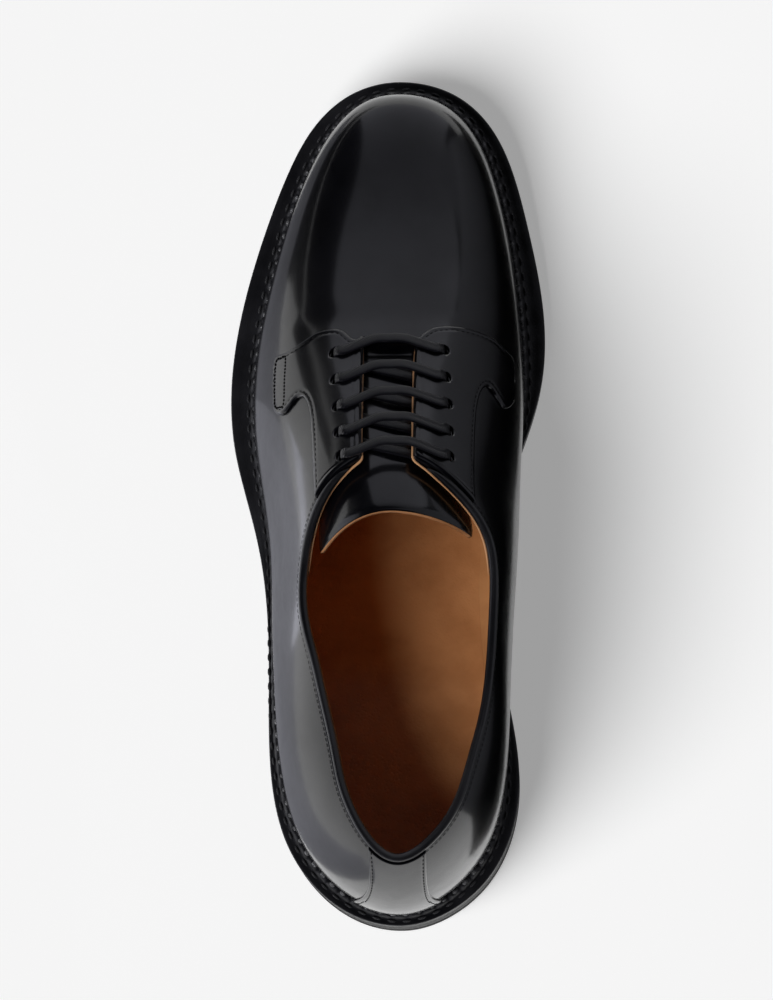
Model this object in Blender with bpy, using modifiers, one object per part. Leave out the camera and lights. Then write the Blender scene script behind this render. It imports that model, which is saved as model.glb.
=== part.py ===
"""Left derby shoe, plain toe, open lacing with five straight bars, storm welt all round.

The last is one function of two numbers: a station along the shoe, from the back of the heel to the tip
of the toe, and a girth angle, from the outer feather line over the ridge to the inner feather line.
The upper, its overlays, the tongue, the insole and the welt are all worked out from that function.

Tables and sizes are in millimetres and are turned into metres by place(). The toe points to -Y, the
outer side of the foot is +X, and the sole stands on z = 0.
"""

import bmesh
import bpy
import numpy as np
from mathutils import Matrix, Vector

MM = 0.001
GAP = 0.3

# Driving sizes of the shoe
SOLE_LENGTH = 300.0
OUTSOLE_THICK = 5.5
WELT_THICK = 3.0
WALL = 2.0
OVERLAY_THICK = 1.1
HEEL_LENGTH = 77.0
BREAST_BOW = 4.0
TOP_PIECE_THICK = 6.0
INSOLE_RISE = 2.4
ROUNDED_OVER = 12.0
BINDING_WIDTH = 2.6
BINDING_HEIGHT = 2.2
BINDING_STOP = 2.5
TONGUE_THICK = 2.0
LACE_WIDTH = 3.0
LACE_THICK = 1.3
EYELET_RADIUS = 2.2

# Where the last starts and ends inside the sole's length, and how its back leans forward with height
UPPER_HEEL, UPPER_TOE = 2.9, 295.6
BACK_LEAN, LEAN_HEIGHT, LEAN_REACH, MOST_LEAN = 16.5, 64.0, 120.0, 40.0
TUCK_HEIGHT = 30.0
SPINE_HEEL, SPINE_TOE = 45.0, 250.0
THROAT_FRONT = 199.6
THROAT_HALF_GAP = 9.0
THROAT_CORNER = 155.0
COLLAR_ONLY_UP_TO = 120.0
CORNER_SHARPNESS = 40.0

# Half widths of the sole's edge: station, outer side, inner side
SOLE_OUTLINE = np.array([
    (0, 0, 0), (4, 17.0, 15.5), (14, 30.2, 29.6), (30, 40.8, 39.2), (52, 45.4, 43.2), (78, 45.8, 38.5),
    (104, 45.9, 32.5), (130, 48.6, 30.5), (152, 54.6, 36.0), (170, 59.5, 43.2), (188, 60.7, 49.4),
    (206, 59.2, 51.8), (226, 55.0, 50.2), (248, 48.0, 45.4), (268, 40.2, 40.4), (284, 31.6, 33.0),
    (296, 17.6, 19.2), (300, 0, 0),
])

# Half widths of the upper as seen from above: station, outer side, inner side
UPPER_OUTLINE = np.array([
    (2.9, 0, 0), (7, 15.0, 14.0), (16, 27.0, 25.5), (32, 37.8, 35.5), (54, 42.8, 39.0), (80, 45.0, 39.4),
    (106, 45.2, 40.6), (132, 45.8, 42.4), (152, 49.2, 43.6), (170, 52.6, 44.6), (188, 53.2, 45.2),
    (206, 51.6, 44.6), (226, 47.2, 42.8), (248, 41.6, 39.4), (268, 33.8, 34.4), (282, 25.4, 27.6),
    (292.5, 13.5, 15.5), (295.6, 0, 0),
])

# Ridge of the last: station, height over the feather line, offset to the outer side,
# fullness of the outer half, fullness of the inner half
RIDGE = np.array([
    (2.9, 71.5, -1.5, 0.03, 0.03), (10, 72, -1.8, 0.01, 0.055), (20, 74, -2.6, 0, 0.05),
    (32, 73.5, -3.4, 0, 0.035),
    (45, 71, -4.5, 0, 0.035), (62, 69.5, -5.2, 0, 0.055), (83, 73.5, -4.8, 0, 0.06),
    (98, 83.5, -3.8, 0.01, 0.045), (110, 92.5, -3.2, 0.01, 0.04), (124, 99.5, -1.8, 0, 0.045),
    (136, 100.5, 0, 0, 0.035), (148, 98, 2, 0, 0.01), (157, 94, 2.5, 0, 0), (168, 86.5, 2.7, 0, 0),
    (184, 75, 2.7, 0.01, 0.01), (204, 60.5, 2.4, 0.02, 0.02), (228, 47.5, 1.8, 0.03, 0.03),
    (250, 38.5, 1.0, 0.03, 0.03), (270, 32.5, 0.4, 0.03, 0.03), (284, 27.0, 0, 0.03, 0.03),
    (292.5, 17.5, 0, 0.02, 0.02), (295.6, 0, 0, 0, 0),
])

# Height of the outsole's underside, with the arch and the toe spring: station, height
UNDERSIDE = np.array([
    (0, 25), (40, 24.5), (75, 22.3), (100, 15.5), (128, 6.5), (146, 1.3), (158, 0), (170, 0), (182, 0),
    (194, 0), (206, 0), (218, 0.4), (238, 1.7), (260, 4.0), (280, 7.3), (300, 11.5),
])

# Height of the topline over the floor: station, outer side, inner side
TOPLINE = np.array([
    (0, 98.5, 98.5), (18, 98.5, 98.5), (34, 96.0, 96.5), (60, 90.0, 91.0), (85, 86.2, 88.0),
    (105, 85.6, 87.5), (120, 88.0, 89.5), (131, 92.5, 93.5), (141, 98.0, 98.5), (150, 102.5, 102.5),
    (158, 106.5, 106.5), (166, 112.0, 112.0), (180, 126.0, 126.0),
])

# How far the feather line is tucked in under the widest line: station, outer side, inner side
TUCK = np.array([
    (0, 3.5, 3.5), (30, 3.5, 3.5), (60, 3.5, 5.0), (88, 4.0, 10.5), (106, 4.0, 13.6), (122, 4.0, 15.4),
    (137, 3.9, 15.2), (151, 3.7, 12.6), (165, 3.5, 8.4), (180, 3.3, 4.2), (200, 3.2, 3.0), (250, 3.0, 3.0),
    (300, 2.5, 2.5),
])

# Eyelets, from the front one to the top one: outer offset, outer station, inner offset, inner station
EYELETS = np.array([
    (20.8, 194.4, -15.8, 195.4), (20.1, 184.2, -16.4, 185.2), (19.2, 174.0, -17.0, 175.2),
    (18.3, 164.2, -17.5, 165.3), (17.4, 155.6, -17.8, 155.8),
])

# Outline of each facing seen from above, from the throat's front corner round to the topline:
# offset to the outer side, station
FACING_OUTER = np.array([
    (5, 199.4), (13.6, 199.4), (16.0, 200.8), (18.2, 202.9), (21.6, 203.9), (27.2, 203.1), (32.2, 200.2),
    (37.5, 197.3), (41.7, 196.3), (42.8, 190.0), (42.6, 182.0), (41.6, 176.0), (38.9, 174.6), (35.9, 177.2),
    (33.5, 179.6), (31.2, 178.8), (29.3, 174.2), (28.2, 165.8), (27.2, 152.2), (26.4, 139.0), (26.0, 124.0),
    (5, 124.0),
])
FACING_INNER = np.array([
    (0, 199.8), (-6.6, 199.8), (-9.0, 201.6), (-12.4, 204.0), (-18.8, 205.0), (-26.5, 204.2), (-32.6, 202.4),
    (-36.0, 199.6), (-38.9, 197.0), (-39.6, 189.0), (-39.2, 180.8), (-36.4, 177.8), (-33.6, 181.2),
    (-30.9, 184.2), (-28.4, 181.4), (-26.9, 174.2), (-26.2, 162.0), (-26.3, 148.0), (-26.8, 139.0),
    (-27.2, 124.0), (0, 124.0),
])

# Outline of the backstay seen from behind: height, outer edge, inner edge
BACKSTAY = np.array([
    (24, 18.0, -17.0), (40, 17.0, -16.0), (52, 14.4, -13.4), (62, 11.4, -11.2), (74, 9.2, -10.4),
    (86, 8.6, -10.2), (104, 8.6, -10.4),
])
BACKSTAY_REACH = 30.0

# Side edges of the tongue: station, outer girth angle, inner girth angle in degrees
TONGUE_SIDES = np.array([(118, 46, 133), (150, 51, 130), (175, 55, 125), (212, 60, 118)])
TONGUE_TOP = 138.2
TONGUE_FRONT = 211.0
TONGUE_DROP_OUTER, TONGUE_DROP_INNER = 0.0073, 0.0044
TONGUE_DEPTH = 5.1
TONGUE_RAMP = (197.0, 203.0)

BLACK_LEATHER = ("#15151a", 0.22)
BLACK_EDGE = ("#111114", 0.45)
BLACK_RUBBER = ("#141416", 0.7)
BLACK_LACE = ("#141417", 0.5)
TAN_LEATHER = ("#8b5a32", 0.55)


def bspline(knots, values, at):
    """Cubic B-spline with these control points, read as a function of the first column."""
    spans_per_knot = 400
    k = np.concatenate([[knots[0]] * 2, knots, [knots[-1]] * 2])
    v = np.concatenate([[values[0]] * 2, values, [values[-1]] * 2])
    spans = len(k) - 3
    s = np.linspace(0, spans, spans_per_knot * spans + 1)[:-1]
    i = s.astype(int)
    f = s - i
    weights = np.stack([(1 - f) ** 3, 3 * f**3 - 6 * f**2 + 4, -3 * f**3 + 3 * f**2 + 3 * f + 1, f**3]) / 6
    along = sum(weights[j] * k[i + j] for j in range(4))
    value = sum(weights[j] * v[i + j] for j in range(4))
    return np.interp(at, np.append(along, knots[-1]), np.append(value, values[-1]))


def share_of(t, first, last):
    """Angle share of a station, so that a width that closes as a round end is smooth in it."""
    return np.arccos(np.clip(1 - 2 * (t - first) / (last - first), -1, 1)) / np.pi


def station_of(share, first, last):
    return first + (last - first) * (1 - np.cos(np.pi * share)) / 2


def column(table, n, t):
    return bspline(table[:, 0], table[:, n], t)


def end_round(table, n, t):
    """A table's column read so that its ends close as round curves."""
    first, last = table[0, 0], table[-1, 0]
    return bspline(share_of(table[:, 0], first, last), table[:, n], share_of(t, first, last))


def underside(t):
    return column(UNDERSIDE, 1, t)


def outsole_top(t):
    return underside(t) + OUTSOLE_THICK


def feather_height(t):
    return outsole_top(t) + WELT_THICK + 2 * GAP


def section(t, theta):
    """Cross-section of the last: offset to the outer side, height over the feather line, and the
    place across from -1 at the inner side to 1 at the outer side. The section is an ellipse about
    a ridge that may sit off its middle, made fuller by a third harmonic."""
    outer = end_round(UPPER_OUTLINE, 1, t)
    inner = end_round(UPPER_OUTLINE, 2, t)
    rise = end_round(RIDGE, 1, t)
    ridge = end_round(RIDGE, 2, t)
    share = (1 + np.cos(theta)) / 2
    full = end_round(RIDGE, 3, t) * share + end_round(RIDGE, 4, t) * (1 - share)
    across = (1 + full) * np.cos(theta) - full * np.cos(3 * theta)
    up = (1 + full) * np.sin(theta) + full * np.sin(3 * theta)
    x = ridge + (outer + inner) / 2 * across + ((outer - inner) / 2 - ridge) * across**2
    return x, rise * up, across


def last_point(t, theta):
    """A point of the last's surface: the section, leaned forward at the back and tucked in at its foot."""
    t, theta = np.broadcast_arrays(np.asarray(t, float), np.asarray(theta, float))
    x, height, across = section(t, theta)
    fade = (1 - np.clip(t / LEAN_REACH, 0, 1) ** 2) ** 2
    lean = np.minimum(BACK_LEAN * (height / LEAN_HEIGHT) ** 2 * fade, MOST_LEAN)
    share = (1 + np.clip(across, -1, 1)) / 2
    tuck = column(TUCK, 1, t) * share + column(TUCK, 2, t) * (1 - share)
    tuck = tuck * np.clip(1 - height / TUCK_HEIGHT, 0, 1) ** 3
    beyond = t - np.clip(t, SPINE_HEEL, SPINE_TOE)
    reach = np.sqrt(x * x + beyond * beyond) + 1e-9
    return np.stack([x - tuck * x / reach, t + lean - tuck * beyond / reach, feather_height(t) + height], -1)


def last_normal(t, theta):
    """Unit normal of the last's surface, pointing out of the shoe, away from its two round ends."""
    dt, da = 0.2, 0.002
    along = last_point(t + dt, theta) - last_point(t - dt, theta)
    around = last_point(t, theta + da) - last_point(t, theta - da)
    normal = np.cross(around, along)
    normal /= np.linalg.norm(normal, axis=-1, keepdims=True)
    return normal * np.where(normal[..., 2:] < 0, -1, 1)


def edge_angle(t, side, drop=0.0):
    """Girth angle of the opening's edge on one side, 1 outer or -1 inner: set by the topline's height
    behind, by half the throat's gap in front, and rounded where the two meet."""
    angles = np.linspace(0, np.pi / 2, 721)
    theta = angles if side == 1 else np.pi - angles
    found = []
    for station in np.atleast_1d(t):
        x, height, _ = section(station, theta)
        top = column(TOPLINE, 1 if side == 1 else 2, station) - drop
        by_height = np.interp(top, feather_height(station) + height, angles)
        if station > COLLAR_ONLY_UP_TO:
            away = (x - end_round(RIDGE, 2, station)) * side
            by_gap = np.interp(-THROAT_HALF_GAP, -away, angles)
            k = CORNER_SHARPNESS
            by_height = -np.log(np.exp(-k * by_height) + np.exp(-k * by_gap)) / k
        found.append(by_height)
    return np.array(found) if side == 1 else np.pi - np.array(found)


def angle_at(x, t):
    """Girth angle of the point of the last's upper half that lies over this offset and station."""
    angles = np.linspace(0.25, np.pi - 0.25, 1200)
    return np.interp(-x, -last_point(t, angles)[:, 0], angles)


def sole_middle():
    """Offset of the middle between the sole's outermost and innermost edges."""
    t = np.linspace(0, SOLE_LENGTH, 3001)
    return (end_round(SOLE_OUTLINE, 1, t).max() - end_round(SOLE_OUTLINE, 2, t).max()) / 2


MIDDLE = sole_middle()


def place(points):
    """Offset, station and height in millimetres, as world coordinates in metres."""
    points = np.asarray(points, float)
    return np.stack([points[..., 0] - MIDDLE, SOLE_LENGTH / 2 - points[..., 1], points[..., 2]], -1) * MM


def material(name, look):
    code, roughness = look
    made = bpy.data.materials.new(name)
    made.use_nodes = True
    shader = made.node_tree.nodes["Principled BSDF"]
    srgb = [int(code[i : i + 2], 16) / 255 for i in (1, 3, 5)]
    shader.inputs["Base Color"].default_value = [c**2.2 for c in srgb] + [1]
    shader.inputs["Roughness"].default_value = roughness
    shader.inputs["Metallic"].default_value = 0.0
    return made


def mesh_object(name, points, faces, collection, look=None):
    """An object from points in millimetres; points that coincide are joined and its faces turned out."""
    mesh = bpy.data.meshes.new(name)
    mesh.from_pydata(place(points).tolist(), [], [list(f) for f in faces])
    bm = bmesh.new()
    bm.from_mesh(mesh)
    bmesh.ops.remove_doubles(bm, verts=bm.verts, dist=0.00001)
    bmesh.ops.dissolve_degenerate(bm, edges=bm.edges, dist=0.00001)
    bmesh.ops.recalc_face_normals(bm, faces=bm.faces)
    bm.to_mesh(mesh)
    bm.free()
    mesh.shade_smooth()
    mesh.set_sharp_from_angle(angle=np.radians(35))
    made = bpy.data.objects.new(name, mesh)
    if look:
        mesh.materials.append(material(name + "_finish", look))
    collection.objects.link(made)
    return made


def grid_faces(rows, columns, start=0, closed=False):
    """Quads of a grid of points, kept row after row; closed joins the last column to the first."""
    faces = []
    for i in range(rows - 1):
        for j in range(columns if closed else columns - 1):
            k = (j + 1) % columns
            faces.append([start + i * columns + j, start + i * columns + k,
                          start + (i + 1) * columns + k, start + (i + 1) * columns + j])
    return faces


def join_grids(grids):
    """Points and faces of several grids together."""
    points, faces = [], []
    for grid in grids:
        rows, columns = grid.shape[:2]
        faces += grid_faces(rows, columns, len(points))
        points += grid.reshape(-1, 3).tolist()
    return points, faces


def solidify(made, thickness, offset):
    shell = made.modifiers.new("wall", "SOLIDIFY")
    shell.thickness = thickness * MM
    shell.offset = offset
    shell.use_even_offset = True
    shell.use_quality_normals = True


def boolean(made, cutter, operation):
    cut = made.modifiers.new(cutter.name, "BOOLEAN")
    cut.operation = operation
    cut.solver = "EXACT"
    cut.object = cutter


def between(p0, p1, p2, p3, f):
    """Catmull-Rom curve from p1 to p2 at the share f of the way."""
    bend = (2 * p0 - 5 * p1 + 4 * p2 - p3) * f**2
    return (2 * p1 + (p2 - p0) * f + bend + (3 * p1 - p0 - 3 * p2 + p3) * f**3) / 2


def smooth_loop(points, steps):
    """Closed smooth curve through points, with this many steps between each two."""
    shifted = [np.roll(points, k, axis=0)[:, None] for k in (1, 0, -1, -2)]
    f = np.linspace(0, 1, steps, endpoint=False)[None, :, None]
    return between(*shifted, f).reshape(-1, points.shape[1])


def smooth_path(points, steps):
    """Open smooth curve through points, with this many steps between each two."""
    ends = np.concatenate([[2 * points[0] - points[1]], points, [2 * points[-1] - points[-2]]])
    shifted = [ends[k : len(ends) - 3 + k][:, None] for k in range(4)]
    f = np.linspace(0, 1, steps, endpoint=False)[None, :, None]
    return np.concatenate([between(*shifted, f).reshape(-1, points.shape[1]), points[-1:]])


def unit(vectors):
    return vectors / np.linalg.norm(vectors, axis=-1, keepdims=True)


def as_helper(made):
    """Keeps a cutter out of the part."""
    made.hide_render = True
    made.display_type = "WIRE"
    return made


def prism(name, loop, axis, low, high, collection):
    """Closed cutter: a loop of two coordinates carried straight from low to high along the third axis."""
    count = len(loop)
    bottom, top = np.empty((count, 3)), np.empty((count, 3))
    others = [k for k in range(3) if k != axis]
    for ring, level in ((bottom, low), (top, high)):
        ring[:, others] = loop
        ring[:, axis] = level
    faces = [[i, (i + 1) % count, count + (i + 1) % count, count + i] for i in range(count)]
    faces += [list(range(count)), list(range(2 * count - 1, count - 1, -1))]
    return as_helper(mesh_object(name, np.concatenate([bottom, top]), faces, collection))


def side_stations():
    """Stations of the upper's sections: close at both round ends, with one at each end of the throat."""
    behind, throat, vamp = 19, 5, 12
    shares = share_of(np.array([THROAT_CORNER, THROAT_FRONT]), UPPER_HEEL, UPPER_TOE)
    share = np.concatenate([
        np.linspace(0, shares[0], behind, endpoint=False),
        np.linspace(shares[0], shares[1], throat, endpoint=False),
        np.linspace(shares[1], 1, vamp + 1),
    ])
    return station_of(share, UPPER_HEEL, UPPER_TOE)


def upper_edge(stations, side, drop):
    """Girth angle of the wall's upper edge, carried on at a steady angle in front of the throat."""
    open_part = stations <= THROAT_FRONT + 1e-6
    edge = np.empty(len(stations))
    edge[open_part] = edge_angle(stations[open_part], side, drop)
    edge[~open_part] = edge[open_part][-1]
    return edge


def make_upper(parts, eyelet_cutters):
    """Hollow upper: the last's surface, open at collar, throat and feather line, with its wall inside."""
    girth_steps, bridge_steps = 9, 6
    stations = side_stations()
    rows = np.linspace(0, 1, girth_steps + 1)[None, :]
    outer_edge = upper_edge(stations, 1, BINDING_HEIGHT + GAP)
    inner_edge = upper_edge(stations, -1, BINDING_HEIGHT + GAP)
    outer = last_point(stations[:, None], outer_edge[:, None] * rows)
    inner = last_point(stations[:, None], np.pi - (np.pi - inner_edge[:, None]) * rows)
    front = stations >= THROAT_FRONT - 1e-6
    across = np.linspace(0, 1, bridge_steps + 1)[None, :]
    angles = outer_edge[front, None] * (1 - across) + inner_edge[front, None] * across
    vamp = last_point(stations[front, None], angles)
    points, faces = join_grids([outer, inner, vamp])
    upper = mesh_object("upper", points, faces, parts, BLACK_LEATHER)
    turn_out(upper)
    solidify(upper, WALL, -1.0)
    for cutter in eyelet_cutters:
        boolean(upper, cutter, "DIFFERENCE")
    return upper


def turn_out(made):
    """Turns an open sheet's faces away from the inside of the shoe."""
    mesh = made.data
    centre = Vector(place((0, SOLE_LENGTH / 2, 40)).tolist())
    outward = sum((p.center - centre).dot(p.normal) * p.area for p in mesh.polygons)
    if outward < 0:
        mesh.flip_normals()


def overlay_blank(name, grids, parts):
    """Overlay before it is cut: a sheet of the last's surface, raised clear of the wall and thickened."""
    points, faces = join_grids(grids)
    blank = mesh_object(name, points, faces, parts, BLACK_LEATHER)
    turn_out(blank)
    solidify(blank, OVERLAY_THICK, 2 * (GAP + OVERLAY_THICK / 2) / OVERLAY_THICK)
    return blank


def make_facing(name, side, outline, parts, cutters, eyelet_cutters):
    """Eyestay overlay of one quarter: the blank cut to its outline from above, with five holes."""
    low_angle = np.radians(22)
    share = np.linspace(0, 1, 13)[None, :]
    stations = np.concatenate([np.linspace(127, THROAT_CORNER, 9, endpoint=False),
                               np.linspace(THROAT_CORNER, THROAT_FRONT, 7, endpoint=False),
                               np.linspace(THROAT_FRONT, 207.5, 3)])
    high = upper_edge(stations, side, BINDING_HEIGHT + 2 * GAP)
    low = low_angle if side == 1 else np.pi - low_angle
    sheet = last_point(stations[:, None], low * (1 - share) + high[:, None] * share)
    facing = overlay_blank(name, [sheet], parts)
    cutter = prism(name + "_outline", smooth_loop(outline, 3), 2, 20.0, 140.0, cutters)
    boolean(facing, cutter, "INTERSECT")
    for hole in eyelet_cutters:
        boolean(facing, hole, "DIFFERENCE")
    return facing


def make_backstay(parts, cutters):
    """Strip over the heel seam: a sheet round the heel cut to its outline from behind."""
    reach = 7
    shares = np.linspace(0, share_of(BACKSTAY_REACH, UPPER_HEEL, UPPER_TOE), reach + 1)
    stations = station_of(shares, UPPER_HEEL, UPPER_TOE)
    rows = np.linspace(0.012, 1, 9)[None, :]
    drop = BINDING_HEIGHT + 2 * GAP
    outer = last_point(stations[:, None], edge_angle(stations, 1, drop)[:, None] * rows)
    inner = last_point(stations[:, None], np.pi - (np.pi - edge_angle(stations, -1, drop)[:, None]) * rows)
    backstay = overlay_blank("backstay", [outer, inner], parts)
    above_welt = feather_height(0) + 3.2
    heights = np.linspace(above_welt, BACKSTAY[-1, 0], 12)
    right = np.stack([column(BACKSTAY, 1, heights), heights], -1)
    left = np.stack([column(BACKSTAY, 2, heights), heights], -1)
    cutter = prism("backstay_outline", np.concatenate([right, left[::-1]]), 1, -20.0, 40.0, cutters)
    boolean(backstay, cutter, "INTERSECT")
    return backstay


def eyelet_frames():
    """Centre, outward normal and side of each eyelet, pairs from the front one to the top one."""
    frames = []
    for row in EYELETS:
        pair = []
        for x, t in (row[:2], row[2:]):
            theta = angle_at(x, t)
            pair.append((last_point(t, theta), last_normal(t, theta)))
        frames.append(pair)
    return frames


def make_eyelet_cutters(frames, cutters):
    """Punches through facing and wall, square to the surface."""
    length = 14.0
    made = []
    for i, pair in enumerate(frames):
        for name, (centre, normal) in zip(("outer", "inner"), pair):
            mesh = bpy.data.meshes.new(f"punch_{name}_{i}")
            bm = bmesh.new()
            bmesh.ops.create_cone(bm, cap_ends=True, segments=10, radius1=EYELET_RADIUS * MM,
                                  radius2=EYELET_RADIUS * MM, depth=length * MM)
            bm.to_mesh(mesh)
            bm.free()
            punch = bpy.data.objects.new(mesh.name, mesh)
            axis = Vector((normal[0], -normal[1], normal[2]))
            turn = axis.to_track_quat("Z", "Y").to_matrix().to_4x4()
            punch.matrix_world = Matrix.Translation(Vector(place(centre).tolist())) @ turn
            cutters.objects.link(punch)
            made.append(as_helper(punch))
    return made


def ring_body(name, rings, parts, look, closed=False):
    """Solid through a row of like rings; closed joins the last to the first, else both ends are capped."""
    rows, columns = rings.shape[:2]
    faces = grid_faces(rows, columns, closed=True)
    last = (rows - 1) * columns
    if closed:
        faces += [[last + j, last + (j + 1) % columns, (j + 1) % columns, j] for j in range(columns)]
    else:
        faces += [list(range(columns)), list(range(last + columns - 1, last - 1, -1))]
    return mesh_object(name, rings.reshape(-1, 3), faces, parts, look)


def sweep(name, path, across, thick, size, parts, look):
    """Six-sided cord of a width and a thickness, carried along a path with its two axes."""
    angles = np.linspace(0, 2 * np.pi, 6, endpoint=False)
    wide = np.cos(angles)[None, :, None] * across[:, None] * size[0] / 2
    deep = np.sin(angles)[None, :, None] * thick[:, None] * size[1] / 2
    return ring_body(name, path[:, None] + wide + deep, parts, look)


def thick_sheet(name, top, bottom, parts, look):
    """Solid between two like grids of points, with a rim all round."""
    rows, columns = top.shape[:2]
    count = rows * columns
    rim = [i * columns for i in range(rows)]
    rim += [(rows - 1) * columns + j for j in range(1, columns)]
    rim += [i * columns + columns - 1 for i in range(rows - 2, -1, -1)]
    rim += [j for j in range(columns - 2, 0, -1)]
    faces = grid_faces(rows, columns) + grid_faces(rows, columns, count)
    faces += [[a, b, b + count, a + count] for a, b in zip(rim, rim[1:] + rim[:1])]
    points = np.concatenate([top.reshape(-1, 3), bottom.reshape(-1, 3)])
    return mesh_object(name, points, faces, parts, look)


def make_binding(parts):
    """Rolled binding along the collar, from one facing corner round the heel to the other."""
    stations = side_stations()
    stations = stations[stations < THROAT_CORNER - BINDING_STOP][::-1]
    drop = BINDING_HEIGHT + GAP
    sides = []
    for side in (1, -1):
        edge = edge_angle(stations, side, drop)
        below = edge - side * 0.02
        sides.append((last_point(stations, edge), last_point(stations, edge) - last_point(stations, below)))
    outer, inner = sides
    path = np.concatenate([outer[0], inner[0][-2::-1]])
    up = unit(np.concatenate([outer[1], inner[1][-2::-1]]))
    along = unit(np.gradient(path, axis=0))
    up = unit(up - along * np.sum(up * along, -1, keepdims=True))
    across = np.cross(along, up)
    across *= np.where(np.sum(across * (path - [0, 80.0, 60.0]) * [1, 1, 0], -1, keepdims=True) < 0, -1, 1)
    centre = path + up * (GAP + BINDING_HEIGHT / 2) - across * (WALL / 2 - 0.15)
    return sweep("collar_binding", centre, across, up, (BINDING_WIDTH, BINDING_HEIGHT), parts, BLACK_EDGE)


def make_tongue(parts):
    """Tongue: a sheet under the facings that follows the last, ramped up at its front to meet the vamp."""
    across_steps, along_steps = 12, 15
    across = np.linspace(0, 1, across_steps + 1)
    top_angle = TONGUE_SIDES[0, 1] * (1 - across) + TONGUE_SIDES[0, 2] * across
    off_centre = top_angle - 90
    drop = np.where(off_centre < 0, TONGUE_DROP_OUTER, TONGUE_DROP_INNER) * off_centre**2
    share = np.concatenate([np.linspace(0, 0.80, along_steps - 5), np.linspace(0.84, 1, 6)])
    t = (TONGUE_TOP - drop)[None, :] * (1 - share[:, None]) + TONGUE_FRONT * share[:, None]
    outer = np.interp(t, TONGUE_SIDES[:, 0], TONGUE_SIDES[:, 1])
    inner = np.interp(t, TONGUE_SIDES[:, 0], TONGUE_SIDES[:, 2])
    theta = np.radians(outer * (1 - across[None, :]) + inner * across[None, :])
    ramp = np.clip((t - TONGUE_RAMP[0]) / (TONGUE_RAMP[1] - TONGUE_RAMP[0]), 0, 1)
    depth = TONGUE_DEPTH + (WALL + GAP - TONGUE_DEPTH) * ramp**2 * (3 - 2 * ramp)
    points = last_point(t, theta)
    normals = last_normal(t, theta)
    top = points - normals * depth[..., None]
    bottom = top - normals * TONGUE_THICK
    return thick_sheet("tongue", top, bottom, parts, BLACK_LEATHER)


def over_last(x, t, rise):
    """Point that stands off the last's upper half by rise, over this offset and station."""
    theta = angle_at(x, t)
    return last_point(t, theta) + last_normal(t, theta) * rise


def make_lace(frames, parts):
    """One lace: up through each inner eyelet, straight over the throat, down through the outer one and
    slanting back beneath to the next inner eyelet. Its first end comes down from the top eyelet, inside."""
    over = GAP + OVERLAY_THICK + GAP + LACE_THICK / 2
    under = WALL + 2 * GAP + LACE_THICK / 2
    aside = 6.5
    climb = np.array([(-1.0, 0.2), (-0.2, 0.0), (0.5, 0.2), (1.0, 1.5), (1.04, 3.8)])
    rows = []

    def add(x, t, rise, width):
        rows.append(np.concatenate([over_last(x, t, rise), width]))

    def through(eyelet, toward, order, first=None):
        for share, shift in climb[::order]:
            rise = share * (over if share > 0 else under)
            if first is not None and share == climb[0, 0]:
                shift = first
            add(eyelet[0] + toward * shift, eyelet[1], rise, along)

    along = unit(frames[-1][1][0] - frames[0][1][0])
    sideways = np.array([1.0, 0, 0])
    start, finish = frames[0][1][0], frames[-1][1][0]
    for share in (1.0, 0.75, 0.5, 0.25, 0.07):
        x, t = (start * (1 - share) + finish * share)[:2]
        add(x - aside, t, -under - 0.4, sideways)
    for i, (outer, inner) in enumerate(frames):
        outer, inner = outer[0], inner[0]
        through(inner, 1, 1, -1.6 if i == 0 else 1.2)
        for share in (0.35, 0.5, 0.65):
            x, t = (inner * (1 - share) + outer * share)[:2]
            add(x, t, over + 0.1, along)
        last = i == len(frames) - 1
        through(outer, -1, -1, -1.6 if last else 1.2)
        if last:
            add(outer[0] + 5.0, outer[1] - 1.0, -under - 0.15, along)
            continue
        following = frames[i + 1][1][0]
        for share in (0.16, 0.5, 0.84):
            x, t = (outer * (1 - share) + following * share)[:2]
            add(x, t, -under - 0.2, along)
    curve = smooth_path(np.array(rows), 2)
    path = curve[:, :3]
    tangent = unit(np.gradient(path, axis=0))
    width = curve[:, 3:]
    width = unit(width - tangent * np.sum(width * tangent, -1, keepdims=True))
    thick = np.cross(tangent, width)
    return sweep("lace", path, width, thick, (LACE_WIDTH, LACE_THICK), parts, BLACK_LACE)


def slab(name, stations, edges, bottom, top, parts, look, bow=None):
    """Solid between two heights and two edges, which are functions of the station; bow pulls the middle
    of each cross line along the shoe."""
    across_steps = 4
    w = np.linspace(-1, 1, across_steps + 1)[None, :]
    outer, inner = edges(stations)
    x = (outer - inner)[:, None] / 2 + (outer + inner)[:, None] / 2 * w
    t = stations[:, None] + (0 if bow is None else bow[:, None] * (1 - w**2))
    t = t + 0 * x
    low, high = (np.stack([x, t, level(t)], -1) for level in (bottom, top))
    return thick_sheet(name, high, low, parts, look)


def sole_edges(t):
    return end_round(SOLE_OUTLINE, 1, t), end_round(SOLE_OUTLINE, 2, t)


def make_outsole(parts):
    """Outsole: one even layer that rises over the heel, drops through the arch and lifts at the toe."""
    share = np.linspace(0, 1, 49)
    stations = station_of(share, 0, SOLE_LENGTH)
    return slab("outsole", stations, sole_edges, underside, outsole_top, parts, BLACK_RUBBER)


def make_heel(parts):
    """Heel: a stack of lifts shaped to the sole, and the piece that meets the floor."""
    share = np.linspace(0, share_of(HEEL_LENGTH, 0, SOLE_LENGTH), 15)
    stations = station_of(share, 0, SOLE_LENGTH)
    bow = -BREAST_BOW * (stations / HEEL_LENGTH) ** 6
    slab("heel_stack", stations, sole_edges, lambda t: TOP_PIECE_THICK + GAP + 0 * t,
         lambda t: underside(t) - GAP, parts, BLACK_EDGE, bow)
    slab("heel_top_piece", stations, sole_edges, lambda t: 0 * t, lambda t: TOP_PIECE_THICK + 0 * t,
         parts, BLACK_RUBBER, bow)


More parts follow.
